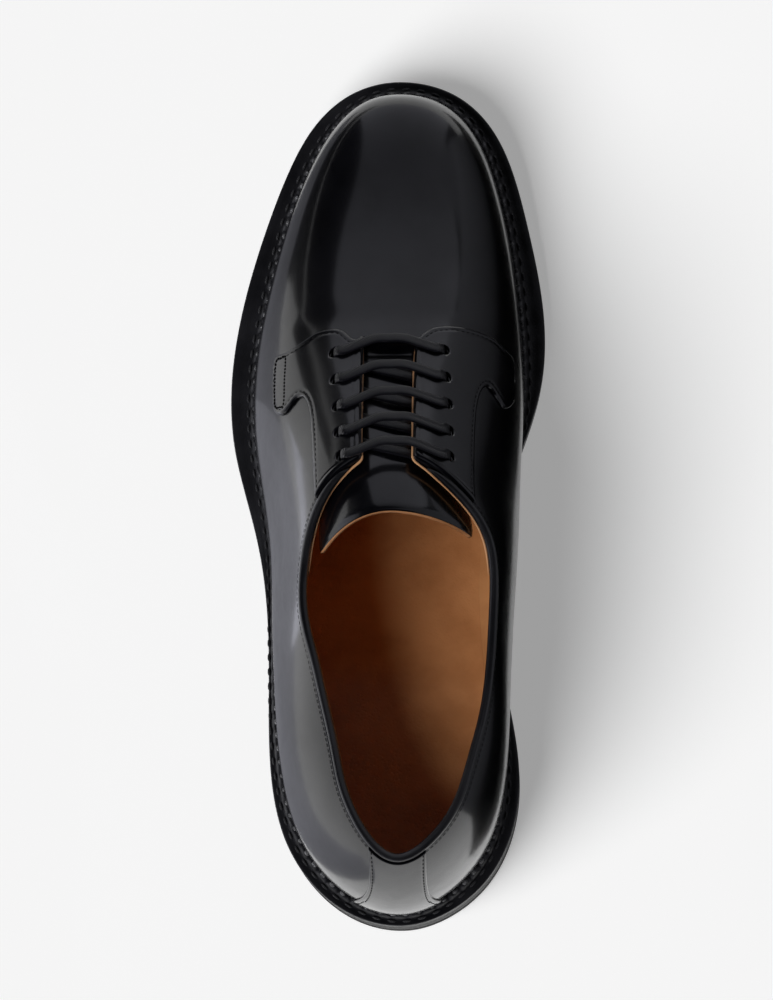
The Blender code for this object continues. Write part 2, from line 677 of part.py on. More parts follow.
def feather_loop(shares, side, height=0.0):
    """Points of the last at this height over the feather line, on one side, at these shares."""
    stations = station_of(shares, UPPER_HEEL, UPPER_TOE)
    rise = np.maximum(end_round(RIDGE, 1, stations), 1e-3)
    angle = np.arcsin(np.clip(height / rise, 0, 1))
    return last_point(stations, angle if side == 1 else np.pi - angle)


def make_insole(parts):
    """Insole: fills the floor of the shoe inside the wall, down to the outsole."""
    share = np.linspace(0, 1, 33)
    outer = feather_loop(share, 1)
    inner = feather_loop(share, -1)
    inset = WALL + GAP
    first, last = outer[0, 1] + inset, outer[-1, 1] - inset
    stations = station_of(share, first, last)

    def edges(t):
        along = station_of(share_of(t, first, last), outer[0, 1], outer[-1, 1])
        halves = (np.interp(along, outer[:, 1], outer[:, 0]), np.interp(along, inner[:, 1], -inner[:, 0]))
        return [np.maximum(half - inset * np.minimum(half / ROUNDED_OVER, 1), 0) for half in halves]

    return slab("insole", stations, edges, lambda t: outsole_top(t) + GAP,
                lambda t: feather_height(t) + INSOLE_RISE, parts, TAN_LEATHER)


def make_welt(parts):
    """Storm welt: a strip all round on the outsole, with a ridge standing against the upper, lower where
    the waist is cut close."""
    around = 37
    ridge_height, ridge_width, lip, crown, ease, seat = 1.9, 2.4, 0.5, 0.8, 0.35, 0.25
    least_width, full_room, lowest = 2.2, 3.0, 0.25
    share = np.linspace(0, 1, around)
    rings = []
    for side in (1, -1):
        s = share if side == 1 else share[-2:0:-1]
        stations = station_of(s, 0, SOLE_LENGTH)
        edge = np.stack([side * end_round(SOLE_OUTLINE, 1 if side == 1 else 2, stations), stations], -1)
        foot = feather_loop(s, side)[:, :2]
        room = np.clip((np.linalg.norm(edge - foot, axis=-1) - least_width) / full_room, lowest, 1)
        wall = feather_loop(s, side, (ridge_height + crown) * room)[:, :2]
        rings.append((edge, foot, wall, ridge_height * room))
    edge, foot, wall, ridge = (np.concatenate([a, b]) for a, b in zip(*rings))
    outward = unit(edge - foot)
    width = np.linalg.norm(edge - foot, axis=-1)
    clear = np.sum((wall - foot) * outward, -1) + GAP + ease
    crest = np.minimum(clear + ridge_width, width - lip - 0.4)
    slope = np.minimum(crest + 0.5, width - lip - 0.2)
    levels = [
        (0 * width - WALL, 0), (width - 0.2, 0), (width, 0.3), (width, WELT_THICK - 0.5),
        (width - lip, WELT_THICK), (slope, WELT_THICK), (crest, WELT_THICK + 0.6 * ridge),
        ((clear + crest) / 2 + 0.1, WELT_THICK + ridge + GAP), (clear, WELT_THICK + ridge + GAP),
        (0 * width + GAP + ease, WELT_THICK - seat), (0 * width - WALL, WELT_THICK - seat),
    ]
    profile = []
    for reach, height in levels:
        plan = foot + outward * reach[:, None]
        z = outsole_top(np.clip(plan[:, 1], 0, SOLE_LENGTH)) + GAP + height
        profile.append(np.concatenate([plan, z[:, None]], -1))
    return ring_body("welt", np.stack(profile, 1), parts, BLACK_EDGE, closed=True)


def clear_scene():
    for old in list(bpy.data.objects):
        bpy.data.objects.remove(old, do_unlink=True)


def collection(name):
    made = bpy.data.collections.new(name)
    bpy.context.scene.collection.children.link(made)
    return made


clear_scene()
shoe = collection("derby_shoe")
cutting = collection("cutters")
cutting.hide_render = True
punched = eyelet_frames()
punches = make_eyelet_cutters(punched, cutting)
make_upper(shoe, punches)
make_facing("facing_outer", 1, FACING_OUTER, shoe, cutting, punches[0::2])
make_facing("facing_inner", -1, FACING_INNER, shoe, cutting, punches[1::2])
make_backstay(shoe, cutting)
make_binding(shoe)
make_tongue(shoe)
make_lace(punched, shoe)
make_insole(shoe)
make_welt(shoe)
make_outsole(shoe)
make_heel(shoe)
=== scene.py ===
"""Looks of the left derby shoe: polished black leather, tan lining and insole, storm welt, five lace bars.

The file follows the shoe as it is made: insole, upper, overlays, binding, tongue, lace, welt, sole, heel.
Shapes are worked out in millimetres from the last, as offset to the outer side, station from the back of
the heel and height over the floor. place() turns them into the frame's metres.
"""

import bmesh
import bpy
import numpy as np
from mathutils import Matrix, Vector


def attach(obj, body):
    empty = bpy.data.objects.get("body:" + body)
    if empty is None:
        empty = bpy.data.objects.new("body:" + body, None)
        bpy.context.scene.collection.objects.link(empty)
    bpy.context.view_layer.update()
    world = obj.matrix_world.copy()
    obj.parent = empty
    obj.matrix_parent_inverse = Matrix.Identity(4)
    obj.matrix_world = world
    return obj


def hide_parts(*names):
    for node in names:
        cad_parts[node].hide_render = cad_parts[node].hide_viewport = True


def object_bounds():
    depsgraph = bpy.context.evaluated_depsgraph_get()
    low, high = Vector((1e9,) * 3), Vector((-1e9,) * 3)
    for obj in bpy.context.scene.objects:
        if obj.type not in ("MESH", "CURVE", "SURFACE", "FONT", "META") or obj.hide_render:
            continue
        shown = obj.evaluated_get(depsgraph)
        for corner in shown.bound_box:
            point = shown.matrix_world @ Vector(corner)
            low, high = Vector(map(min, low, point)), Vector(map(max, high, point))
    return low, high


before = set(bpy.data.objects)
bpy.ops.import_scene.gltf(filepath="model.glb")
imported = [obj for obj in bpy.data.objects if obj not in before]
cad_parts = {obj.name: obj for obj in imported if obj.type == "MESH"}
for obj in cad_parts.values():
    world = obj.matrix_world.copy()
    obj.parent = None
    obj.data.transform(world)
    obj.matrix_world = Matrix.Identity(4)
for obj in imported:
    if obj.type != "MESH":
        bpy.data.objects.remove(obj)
cad_low, cad_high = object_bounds()

# The studio
# A pale floor without an edge, a soft key light from the outer side behind the heel, and light boxes and
# dark cards that only reflections in the polish see. The dark ones keep the inner side and the toe black.

SHOE_SHARE_OF_FRAME = 0.85
CAMERA_DISTANCE = 2.15
CAMERA_TILT, CAMERA_LEAN = np.radians(7.0), np.radians(1.5)
AIM = Vector((0.0, 0.0007, 0.030))
SENSOR = 36.0
scene = bpy.context.scene
scene.view_settings.view_transform = "Standard"


def own_mesh(name, points, faces):
    made = bpy.data.objects.new(name, bpy.data.meshes.new(name))
    made.data.from_pydata(points, [], faces)
    scene.collection.objects.link(made)
    return made


def node(tree, kind, into=(), **settings):
    """A shader node with its settings, and with its inputs set to values or joined to other sockets."""
    made = tree.nodes.new("ShaderNode" + kind)
    for name, value in settings.items():
        setattr(made, name, value)
    for key, value in into.items() if isinstance(into, dict) else enumerate(into):
        if isinstance(value, bpy.types.NodeSocket):
            tree.links.new(value, made.inputs[key])
        elif value is not None:
            made.inputs[key].default_value = value
    return made


def calc(tree, operation, *values):
    return node(tree, "Math", values, operation=operation).outputs[0]


def ramp(tree, value, low, high):
    """Smooth step of a value: nothing up to low, all from high on."""
    return node(tree, "MapRange", {"Value": value, "From Min": low, "From Max": high},
                interpolation_type="SMOOTHSTEP").outputs[0]


def blank_material(name):
    made = bpy.data.materials.new(name)
    made.use_nodes = True
    made.node_tree.nodes.clear()
    return made, made.node_tree


def surface(tree, colour, rough, normal=None, **more):
    """The material's one shader, joined to its output; names of further inputs have _ for a space."""
    into = {"Base Color": colour, "Roughness": rough, "Normal": normal}
    into.update((key.replace("_", " "), value) for key, value in more.items())
    paint = node(tree, "BsdfPrincipled", into)
    node(tree, "OutputMaterial", [paint.outputs[0]])
    return paint


def aim_camera():
    """The photo's angle: a little from behind the heel and from the inner side, toe up in the picture."""
    right = Vector((-np.cos(CAMERA_LEAN), 0, -np.sin(CAMERA_LEAN)))
    up = Vector((0, -np.cos(CAMERA_TILT), np.sin(CAMERA_TILT)))
    back = right.cross(up).normalized()
    up = back.cross(right).normalized()
    data = bpy.data.cameras.new("camera")
    data.sensor_width = SENSOR
    length = (cad_high.y - cad_low.y) * np.cos(CAMERA_TILT)
    data.lens = SENSOR * CAMERA_DISTANCE * SHOE_SHARE_OF_FRAME / length
    data.clip_end = 50
    camera = bpy.data.objects.new("camera", data)
    turn = Matrix((right, up, back)).transposed().to_4x4()
    camera.matrix_world = Matrix.Translation(AIM + back * CAMERA_DISTANCE) @ turn
    scene.collection.objects.link(camera)
    scene.camera = camera


aim_camera()

FLOOR_HALF = 6.0
FLOOR_GLOW = 0.33
FLOOR_DROP = 0.0002
floor = own_mesh("floor", [(x * FLOOR_HALF, y * FLOOR_HALF, -FLOOR_DROP) for x, y in
                           ((-1, -1), (1, -1), (1, 1), (-1, 1))], [(0, 1, 2, 3)])
paper, tree = blank_material("pale_floor")
surface(tree, (0.86, 0.86, 0.86, 1), 0.9, Specular_IOR_Level=0.1, Emission_Color=(1, 1, 1, 1),
        Emission_Strength=FLOOR_GLOW)
floor.data.materials.append(paper)

world = bpy.data.worlds.new("studio")
world.use_nodes = True
world.node_tree.nodes["Background"].inputs[0].default_value = (0.97, 0.98, 1.0, 1)
world.node_tree.nodes["Background"].inputs[1].default_value = 0.015
scene.world = world
world.cycles_visibility.glossy = False


def key_light(azimuth, elevation, strength, softness):
    """Soft distant light: azimuth in degrees from the outer side towards the heel, softness as its angle."""
    data = bpy.data.lights.new("key", "SUN")
    data.energy = strength
    data.angle = np.radians(softness)
    made = bpy.data.objects.new("key", data)
    a, e = np.radians(azimuth), np.radians(elevation)
    towards = Vector((np.cos(a) * np.cos(e), np.sin(a) * np.cos(e), np.sin(e)))
    made.rotation_euler = towards.to_track_quat("Z", "Y").to_euler()
    made.visible_glossy = False
    scene.collection.objects.link(made)


key_light(azimuth=42, elevation=47, strength=2.86, softness=38)
COOL = (0.93, 0.94, 1.05)


def light_box(name, centre, width_axis, height_axis, strength, fade=0.0):
    """Flat card that only reflections see, weaker by the fade towards the end of its height axis."""
    c, w, h = (Vector(v) for v in (centre, width_axis, height_axis))
    made = own_mesh(name, [c - w - h, c + w - h, c + w + h, c - w + h], [(0, 1, 2, 3)])
    layer = made.data.uv_layers.new(name="card")
    layer.data.foreach_set("uv", np.array([(0, 0), (1, 0), (1, 1), (0, 1)], float).ravel())
    look, tree = blank_material(name)
    across = node(tree, "UVMap", uv_map="card")
    height = node(tree, "SeparateXYZ", [across.outputs[0]]).outputs[1]
    level = calc(tree, "MULTIPLY_ADD", height, -fade * strength, strength)
    glow = node(tree, "Emission", [COOL + (1,), level])
    node(tree, "OutputMaterial", [glow.outputs[0]])
    made.data.materials.append(look)
    made.visible_camera = made.visible_diffuse = made.visible_shadow = made.visible_transmission = False


light_box("outer_box", (1.15, 0.35, 0.42), (0, 0.55, 0), (0.10, 0, 0.46), 1.06, 0.75)
light_box("outer_strip", (0.130, 0.0, 0.0012), (-0.018, 0.055, 0), (0.012, 0, 0), 1.9)
light_box("outer_ground", (0.078, 0.09, 0.0008), (0, 0.13, 0), (-0.032, 0, 0), 0.6, 0.6)
light_box("toe_shade", (0.60, -0.60, 0.0009), (0.50, -0.29, 0), (0, -0.2, 0), 0.0)
light_box("toe_box", (-0.15, -1.25, 1.0), (1.1, 0, 0), (0, 0.25, 0.98), 0.62, 0.7)
light_box("toe_ground", (0.078, -0.12, 0.0008), (0, 0.08, 0), (-0.032, 0, 0), 0.38, 0.6)
light_box("inner_box", (-1.0, -0.25, 0.75), (0, 0.7, 0), (0.2, 0, 0.6), 0.3, 0.3)
light_box("heel_box", (0.1, 1.3, 0.5), (0.7, 0, 0), (0, 0.1, 0.45), 0.54, 0.6)
light_box("dark_card", (-0.125, -0.03, 0.05), (0, 0.18, 0), (0, 0, -0.055), 0.32, 1.0)
light_box("dark_ground", (-0.135, -0.03, 0.0008), (0, 0.18, 0), (0.075, 0, 0), 0.0)

# Insole
# The foot lies on a leather board covered by a tan sock lining, glued down over the heel and the waist.
# Its edge meets the lined wall of the upper all round.

MM = 0.001
GAP = 0.3
SOLE_LENGTH = 300.0
OUTSOLE_THICK = 5.5
WELT_THICK = 3.0
WALL = 2.0
UPPER_HEEL, UPPER_TOE = 2.9, 295.6
BACK_LEAN, LEAN_HEIGHT, LEAN_REACH, MOST_LEAN = 16.5, 64.0, 120.0, 40.0
TUCK_HEIGHT = 30.0
SPINE_HEEL, SPINE_TOE = 45.0, 250.0
INSOLE_RISE, INSOLE_LIP, HEEL_DISH, HEEL_SEAT = 2.4, 0.9, 1.3, 42.0
ROUNDED_OVER = 12.0

# Half widths of the sole's edge: station, outer side, inner side
SOLE_OUTLINE = np.array([
    (0, 0, 0), (4, 17.0, 15.5), (14, 30.2, 29.6), (30, 40.8, 39.2), (52, 45.4, 43.2), (78, 45.8, 38.5),
    (104, 45.9, 32.5), (130, 48.6, 30.5), (152, 54.6, 36.0), (170, 59.5, 43.2), (188, 60.7, 49.4),
    (206, 59.2, 51.8), (226, 55.0, 50.2), (248, 48.0, 45.4), (268, 40.2, 40.4), (284, 31.6, 33.0),
    (296, 17.6, 19.2), (300, 0, 0),
])

# Half widths of the last as seen from above: station, outer side, inner side
LAST_OUTLINE = np.array([
    (2.9, 0, 0), (7, 15.0, 14.0), (16, 27.0, 25.5), (32, 37.8, 35.5), (54, 42.8, 39.0), (80, 45.0, 39.4),
    (106, 45.2, 40.6), (132, 45.8, 42.4), (152, 49.2, 43.6), (170, 52.6, 44.6), (188, 53.2, 45.2),
    (206, 51.6, 44.6), (226, 47.2, 42.8), (248, 41.6, 39.4), (268, 33.8, 34.4), (282, 25.4, 27.6),
    (292.5, 13.5, 15.5), (295.6, 0, 0),
])

# Ridge of the last: station, height over the feather line, offset to the outer side,
# fullness of the outer half, fullness of the inner half
RIDGE = np.array([
    (2.9, 71.5, -1.5, 0.03, 0.03), (10, 72, -1.8, 0.01, 0.055), (20, 74, -2.6, 0, 0.05),
    (32, 73.5, -3.4, 0, 0.035),
    (45, 71, -4.5, 0, 0.035), (62, 69.5, -5.2, 0, 0.055), (83, 73.5, -4.8, 0, 0.06),
    (98, 83.5, -3.8, 0.01, 0.045), (110, 92.5, -3.2, 0.01, 0.04), (124, 99.5, -1.8, 0, 0.045),
    (136, 100.5, 0, 0, 0.035), (148, 98, 2, 0, 0.01), (157, 94, 2.5, 0, 0), (168, 86.5, 2.7, 0, 0),
    (184, 75, 2.7, 0.01, 0.01), (204, 60.5, 2.4, 0.02, 0.02), (228, 47.5, 1.8, 0.03, 0.03),
    (250, 38.5, 1.0, 0.03, 0.03), (270, 32.5, 0.4, 0.03, 0.03), (284, 27.0, 0, 0.03, 0.03),
    (292.5, 17.5, 0, 0.02, 0.02), (295.6, 0, 0, 0, 0),
])

# Height of the outsole's underside, with the arch and the toe spring: station, height
UNDERSIDE = np.array([
    (0, 25), (40, 24.5), (75, 22.3), (100, 15.5), (128, 6.5), (146, 1.3), (158, 0), (170, 0), (182, 0),
    (194, 0), (206, 0), (218, 0.4), (238, 1.7), (260, 4.0), (280, 7.3), (300, 11.5),
])

# How far the feather line is tucked in under the widest line: station, outer side, inner side
TUCK = np.array([
    (0, 3.5, 3.5), (30, 3.5, 3.5), (60, 3.5, 5.0), (88, 4.0, 10.5), (106, 4.0, 13.6), (122, 4.0, 15.4),
    (137, 3.9, 15.2), (151, 3.7, 12.6), (165, 3.5, 8.4), (180, 3.3, 4.2), (200, 3.2, 3.0), (250, 3.0, 3.0),
    (300, 2.5, 2.5),
])


def bspline(knots, values, at):
    """Cubic B-spline with these control points, read as a function of the first column."""
    steps = 400
    k = np.concatenate([[knots[0]] * 2, knots, [knots[-1]] * 2])
    v = np.concatenate([[values[0]] * 2, values, [values[-1]] * 2])
    spans = len(k) - 3
    s = np.linspace(0, spans, steps * spans + 1)[:-1]
    i = s.astype(int)
    f = s - i
    weights = np.stack([(1 - f) ** 3, 3 * f**3 - 6 * f**2 + 4, -3 * f**3 + 3 * f**2 + 3 * f + 1, f**3]) / 6
    along = sum(weights[j] * k[i + j] for j in range(4))
    value = sum(weights[j] * v[i + j] for j in range(4))
    return np.interp(at, np.append(along, knots[-1]), np.append(value, values[-1]))


def share_of(t, first, last):
    """Angle share of a station, so that a width that closes as a round end is smooth in it."""
    return np.arccos(np.clip(1 - 2 * (t - first) / (last - first), -1, 1)) / np.pi


def station_of(share, first, last):
    return first + (last - first) * (1 - np.cos(np.pi * share)) / 2


def stations_up_to(t, first, last, count):
    """Stations from the back to t, close together where a round end needs it."""
    return station_of(np.linspace(0, share_of(t, first, last), count), first, last)


def column(table, n, t):
    return bspline(table[:, 0], table[:, n], t)


def end_round(table, n, t):
    """A table's column read so that its ends close as round curves."""
    first, last = table[0, 0], table[-1, 0]
    return bspline(share_of(table[:, 0], first, last), table[:, n], share_of(t, first, last))


def underside(t):
    return column(UNDERSIDE, 1, t)


def outsole_top(t):
    return underside(t) + OUTSOLE_THICK


def feather_height(t):
    return outsole_top(t) + WELT_THICK + 2 * GAP


def section(t, theta):
    """Cross-section of the last: an ellipse about a ridge that may sit off its middle, made fuller by a
    third harmonic. Gives the offset, the height over the feather line and the place across."""
    outer = end_round(LAST_OUTLINE, 1, t)
    inner = end_round(LAST_OUTLINE, 2, t)
    rise = end_round(RIDGE, 1, t)
    ridge = end_round(RIDGE, 2, t)
    share = (1 + np.cos(theta)) / 2
    full = end_round(RIDGE, 3, t) * share + end_round(RIDGE, 4, t) * (1 - share)
    across = (1 + full) * np.cos(theta) - full * np.cos(3 * theta)
    up = (1 + full) * np.sin(theta) + full * np.sin(3 * theta)
    x = ridge + (outer + inner) / 2 * across + ((outer - inner) / 2 - ridge) * across**2
    return x, rise * up, across


def last_point(t, theta):
    """A point of the last's surface: the section, leaned forward at the back and tucked in at its foot."""
    t, theta = np.broadcast_arrays(np.asarray(t, float), np.asarray(theta, float))
    x, height, across = section(t, theta)
    fade = (1 - np.clip(t / LEAN_REACH, 0, 1) ** 2) ** 2
    lean = np.minimum(BACK_LEAN * (height / LEAN_HEIGHT) ** 2 * fade, MOST_LEAN)
    share = (1 + np.clip(across, -1, 1)) / 2
    tuck = column(TUCK, 1, t) * share + column(TUCK, 2, t) * (1 - share)
    tuck = tuck * np.clip(1 - height / TUCK_HEIGHT, 0, 1) ** 3
    beyond = t - np.clip(t, SPINE_HEEL, SPINE_TOE)
    reach = np.sqrt(x * x + beyond * beyond) + 1e-9
    return np.stack([x - tuck * x / reach, t + lean - tuck * beyond / reach, feather_height(t) + height], -1)


def on_side(angle, side):
    """Girth angle of a place counted up from one side's feather line: 1 the outer side, -1 the inner."""
    return angle if side == 1 else np.pi - angle


def sole_middle():
    """Offset of the middle between the sole's outermost and innermost edges."""
    t = np.linspace(0, SOLE_LENGTH, 3001)
    return (end_round(SOLE_OUTLINE, 1, t).max() - end_round(SOLE_OUTLINE, 2, t).max()) / 2


MIDDLE = sole_middle()


def place(points):
    """Offset, station and height in millimetres, as world coordinates in metres."""
    points = np.asarray(points, float)
    return np.stack([points[..., 0] - MIDDLE, SOLE_LENGTH / 2 - points[..., 1], points[..., 2]], -1) * MM


def grid_faces(rows, columns, start=0, closed=False):
    """Quads of a grid of points kept row after row; closed joins the last column to the first."""
    i = np.arange(rows - 1)[:, None] * columns + start
    j = np.arange(columns if closed else columns - 1)[None, :]
    k = (j + 1) % columns
    return np.stack([i + j, i + k, i + columns + k, i + columns + j], -1).reshape(-1, 4)


def sheet_mesh(name, points, quads, looks, slots=None, merge=0.004):
    """Piece from points in millimetres and quads: near points are joined, faces turned out, shading smooth."""
    made = own_mesh(name, place(points).tolist(), quads.tolist())
    mesh = made.data
    for look in looks:
        mesh.materials.append(look)
    if slots is not None:
        mesh.polygons.foreach_set("material_index", slots.astype(np.int32))
    bm = bmesh.new()
    bm.from_mesh(mesh)
    bmesh.ops.remove_doubles(bm, verts=bm.verts, dist=merge * MM)
    bmesh.ops.recalc_face_normals(bm, faces=bm.faces)
    bm.to_mesh(mesh)
    bm.free()
    mesh.shade_smooth()
    return made


def shell(name, top, bottom, quads, looks):
    """Closed shell between two like sets of points: the quads on top, the same quads turned beneath, and a
    rim along each edge that only one quad uses. Looks are those of the top, the bottom and the rim."""
    top, bottom = top.reshape(-1, 3), bottom.reshape(-1, 3)
    edges = quads[:, [[0, 1], [1, 2], [2, 3], [3, 0]]].reshape(-1, 2)
    _, first, uses = np.unique(np.sort(edges, axis=1), axis=0, return_index=True, return_counts=True)
    border = edges[first[uses == 1]]
    count = len(top)
    rim = np.stack([border[:, 1], border[:, 0], border[:, 0] + count, border[:, 1] + count], 1)
    slots = np.repeat([0, 1, 2], [len(quads), len(quads), len(rim)])
    faces = np.concatenate([quads, quads[:, ::-1] + count, rim])
    return sheet_mesh(name, np.concatenate([top, bottom]), faces, looks, slots)


def put(piece, *nodes):
    """A finished piece rides on the shoe's one body and stands for its nodes, which are hidden."""
    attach(piece, "root")
    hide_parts(*nodes)
    return piece


def feather_loop(shares, side, height=0.0):
    """Points of the last at this height over the feather line, on one side, at these shares."""
    stations = station_of(shares, UPPER_HEEL, UPPER_TOE)
    rise = np.maximum(end_round(RIDGE, 1, stations), 1e-3)
    angle = np.arcsin(np.clip(height / rise, 0, 1))
    return last_point(stations, on_side(angle, side))


def new_group(name, sockets):
    """Shader node group with named inputs and outputs, given as name, direction and kind."""
    group = bpy.data.node_groups.new(name, "ShaderNodeTree")
    for label, direction, kind in sockets:
        group.interface.new_socket(name=label, in_out=direction, socket_type="NodeSocket" + kind)
    return group, group.nodes.new("NodeGroupInput"), group.nodes.new("NodeGroupOutput")


def place_of(tree):
    return node(tree, "TexCoord").outputs["Object"]


def noise(tree, where, scale, detail, roughness=0.5):
    return node(tree, "TexNoise", {"Vector": where, "Scale": scale, "Detail": detail,
                                   "Roughness": roughness}).outputs["Fac"]


def blend(tree, share, dark, light):
    """Colour at a share of the way between two, given as colours or as sockets."""
    return node(tree, "Mix", {0: share, 6: dark, 7: light}, data_type="RGBA").outputs[2]


def relief(tree, height, depth, strength=1.0):
    """Bump of a height, with its depth in millimetres."""
    return node(tree, "Bump", {"Strength": strength, "Distance": depth * MM, "Height": height}).outputs[0]


def make_leather_group():
    """Tanned hide: fine pores from cells, a soft grain from noise, and a tone and a gloss that wander
    slowly over the surface. Scale is cells to the millimetre."""
    group, given, out = new_group("hide", [
        ("Dark", "INPUT", "Color"), ("Light", "INPUT", "Color"), ("Scale", "INPUT", "Float"),
        ("Pores", "INPUT", "Float"), ("Dull", "INPUT", "Float"), ("Bright", "INPUT", "Float"),
        ("Color", "OUTPUT", "Color"), ("Roughness", "OUTPUT", "Float"), ("Height", "OUTPUT", "Float"),
        ("Polish", "OUTPUT", "Float"),
    ])
    where = place_of(group)
    size = calc(group, "MULTIPLY", given.outputs["Scale"], 1000.0)
    cells = node(group, "TexVoronoi", {"Vector": where, "Scale": size}, feature="F1").outputs["Distance"]
    fine = noise(group, where, size, 3.0)
    slow = noise(group, where, 38.0, 4.0, 0.55)
    patch = noise(group, where, 140.0, 2.0)
    colour = blend(group, ramp(group, slow, 0.32, 0.68), given.outputs["Dark"], given.outputs["Light"])
    group.links.new(colour, out.inputs["Color"])
    spread = calc(group, "SUBTRACT", given.outputs["Dull"], given.outputs["Bright"])
    gloss = calc(group, "MULTIPLY_ADD", ramp(group, patch, 0.3, 0.75), spread, given.outputs["Bright"])
    group.links.new(gloss, out.inputs["Roughness"])
    pores = calc(group, "MULTIPLY", ramp(group, cells, 0.05, 0.55), given.outputs["Pores"])
    height = calc(group, "MULTIPLY_ADD", fine, 0.35, pores)
    group.links.new(height, out.inputs["Height"])
    polish = calc(group, "MULTIPLY_ADD", ramp(group, slow, 0.2, 0.6), 0.2, 0.8)
    group.links.new(polish, out.inputs["Polish"])
    return group


HIDE = make_leather_group()


def leather(name, dark, light, scale, pores, dull, bright, bump, coat=0.0, coat_roughness=0.1, base_shine=0.5):
    """Leather finish from the hide group: dyed hide under a coat of wax or none."""
    look, tree = blank_material(name)
    hide = node(tree, "Group")
    hide.node_tree = HIDE
    for label, value in (("Dark", dark + (1,)), ("Light", light + (1,)), ("Scale", scale), ("Pores", pores),
                         ("Dull", dull), ("Bright", bright)):
        hide.inputs[label].default_value = value
    grain = relief(tree, hide.outputs["Height"], bump)
    paint = surface(tree, hide.outputs["Color"], hide.outputs["Roughness"], grain,
                    Coat_Roughness=coat_roughness, Specular_IOR_Level=base_shine)
    if coat:
        tree.links.new(calc(tree, "MULTIPLY", hide.outputs["Polish"], coat), paint.inputs["Coat Weight"])
    return look


TAN_DARK, TAN_LIGHT = (0.46, 0.205, 0.078), (0.62, 0.30, 0.125)
insole_tan = leather("insole_tan", TAN_DARK, TAN_LIGHT, scale=0.9, pores=0.5, dull=0.55, bright=0.38,
                     bump=0.10, coat=0.25, coat_roughness=0.3)


def inner_wall(stations, side, height):
    """Half width inside the wall at a height over the feather line: the section's points moved inwards by
    the wall's thickness, square to the section, and read at that height."""
    angles = np.linspace(0.01, 0.9, 90)
    found = []
    for t in stations:
        at = last_point(t, on_side(angles, side))
        x, z = at[:, 0] * side, at[:, 2]
        along = np.stack([np.gradient(x), np.gradient(z)])
        along /= np.linalg.norm(along, axis=0)
        found.append(np.interp(feather_height(t) + height, z + WALL * along[0], x - WALL * along[1]))
    return np.array(found)


def make_insole():
    """Between the two feather lines less the wall: the top lies flat across, reaches out to the wall, is
    dished under the heel and turned up where it meets the wall."""
    rows, columns = 160, 49
    share = np.linspace(0, 1, rows)
    outer, inner = feather_loop(share, 1), feather_loop(share, -1)
    inset = WALL + GAP
    first, last = outer[0, 1] + inset, outer[-1, 1] - inset
    stations = station_of(share, first, last)
    along = station_of(share, outer[0, 1], outer[-1, 1])
    sides = [np.interp(along, outer[:, 1], outer[:, 0]), np.interp(along, inner[:, 1], -inner[:, 0])]
    sides = [np.maximum(half - inset * np.minimum(half / ROUNDED_OVER, 1), 0.001) for half in sides]
    w = np.sin(np.linspace(-np.pi / 2, np.pi / 2, columns))[None, :]
    x = (sides[0] - sides[1])[:, None] / 2 + (sides[0] + sides[1])[:, None] / 2 * w
    t = stations[:, None] + 0 * x
    dish = HEEL_DISH * (1 - w**2) * np.exp(-((t - HEEL_SEAT) / 34) ** 2)
    rise = INSOLE_RISE + INSOLE_LIP * np.abs(w) ** 8 - dish
    middle_part = np.clip((stations - SPINE_HEEL) / 25, 0, 1) * np.clip((SPINE_TOE - stations) / 25, 0, 1)
    reach = [np.maximum(inner_wall(stations, side, INSOLE_RISE + INSOLE_LIP) - half - 0.1, 0) * middle_part
             for side, half in zip((1, -1), sides)]
    spread = np.where(w > 0, reach[0][:, None], -reach[1][:, None]) * np.abs(w) ** 6
    top = np.stack([x + spread, t, feather_height(t) + rise], -1)
    bottom = np.stack([x, t, outsole_top(t) + GAP], -1)
    put(shell("insole_board", top, bottom, grid_faces(rows, columns), [insole_tan] * 3), "insole")


make_insole()

# Upper
# Vamp and quarters in black calf with a high wax polish, lined in tan leather, pulled over the last and
# sewn to welt and insole. One wall, open at the collar, the throat and underneath, with ten punched holes.

THROAT_FRONT, THROAT_HALF_GAP, THROAT_CORNER = 199.6, 9.0, 155.0
COLLAR_ONLY_UP_TO, CORNER_SHARPNESS = 120.0, 40.0
BINDING_HEIGHT, BINDING_STOP = 2.2, 2.5
EYELET_RADIUS = 2.2
UPPER_CELL = 0.55

# Height of the topline over the floor: station, outer side, inner side
TOPLINE = np.array([
    (0, 98.5, 98.5), (18, 98.5, 98.5), (34, 96.0, 96.5), (60, 90.0, 91.0), (85, 86.2, 88.0),
    (105, 85.6, 87.5), (120, 88.0, 89.5), (131, 92.5, 93.5), (141, 98.0, 98.5), (150, 102.5, 102.5),
    (158, 106.5, 106.5), (166, 112.0, 112.0), (180, 126.0, 126.0),
])

# Eyelets, from the front one to the top one: outer offset, outer station, inner offset, inner station
EYELETS = np.array([
    (20.8, 194.4, -15.8, 195.4), (20.1, 184.2, -16.4, 185.2), (19.2, 174.0, -17.0, 175.2),
    (18.3, 164.2, -17.5, 165.3), (17.4, 155.6, -17.8, 155.8),
])


def last_normal(t, theta):
    """Unit normal of the last's surface, pointing out of the shoe, away from its two round ends."""
    dt, da = 0.2, 0.002
    along = last_point(t + dt, theta) - last_point(t - dt, theta)
    around = last_point(t, theta + da) - last_point(t, theta - da)
    normal = np.cross(around, along)
    normal /= np.linalg.norm(normal, axis=-1, keepdims=True) + 1e-12
    return normal * np.where(normal[..., 2:] < 0, -1, 1)


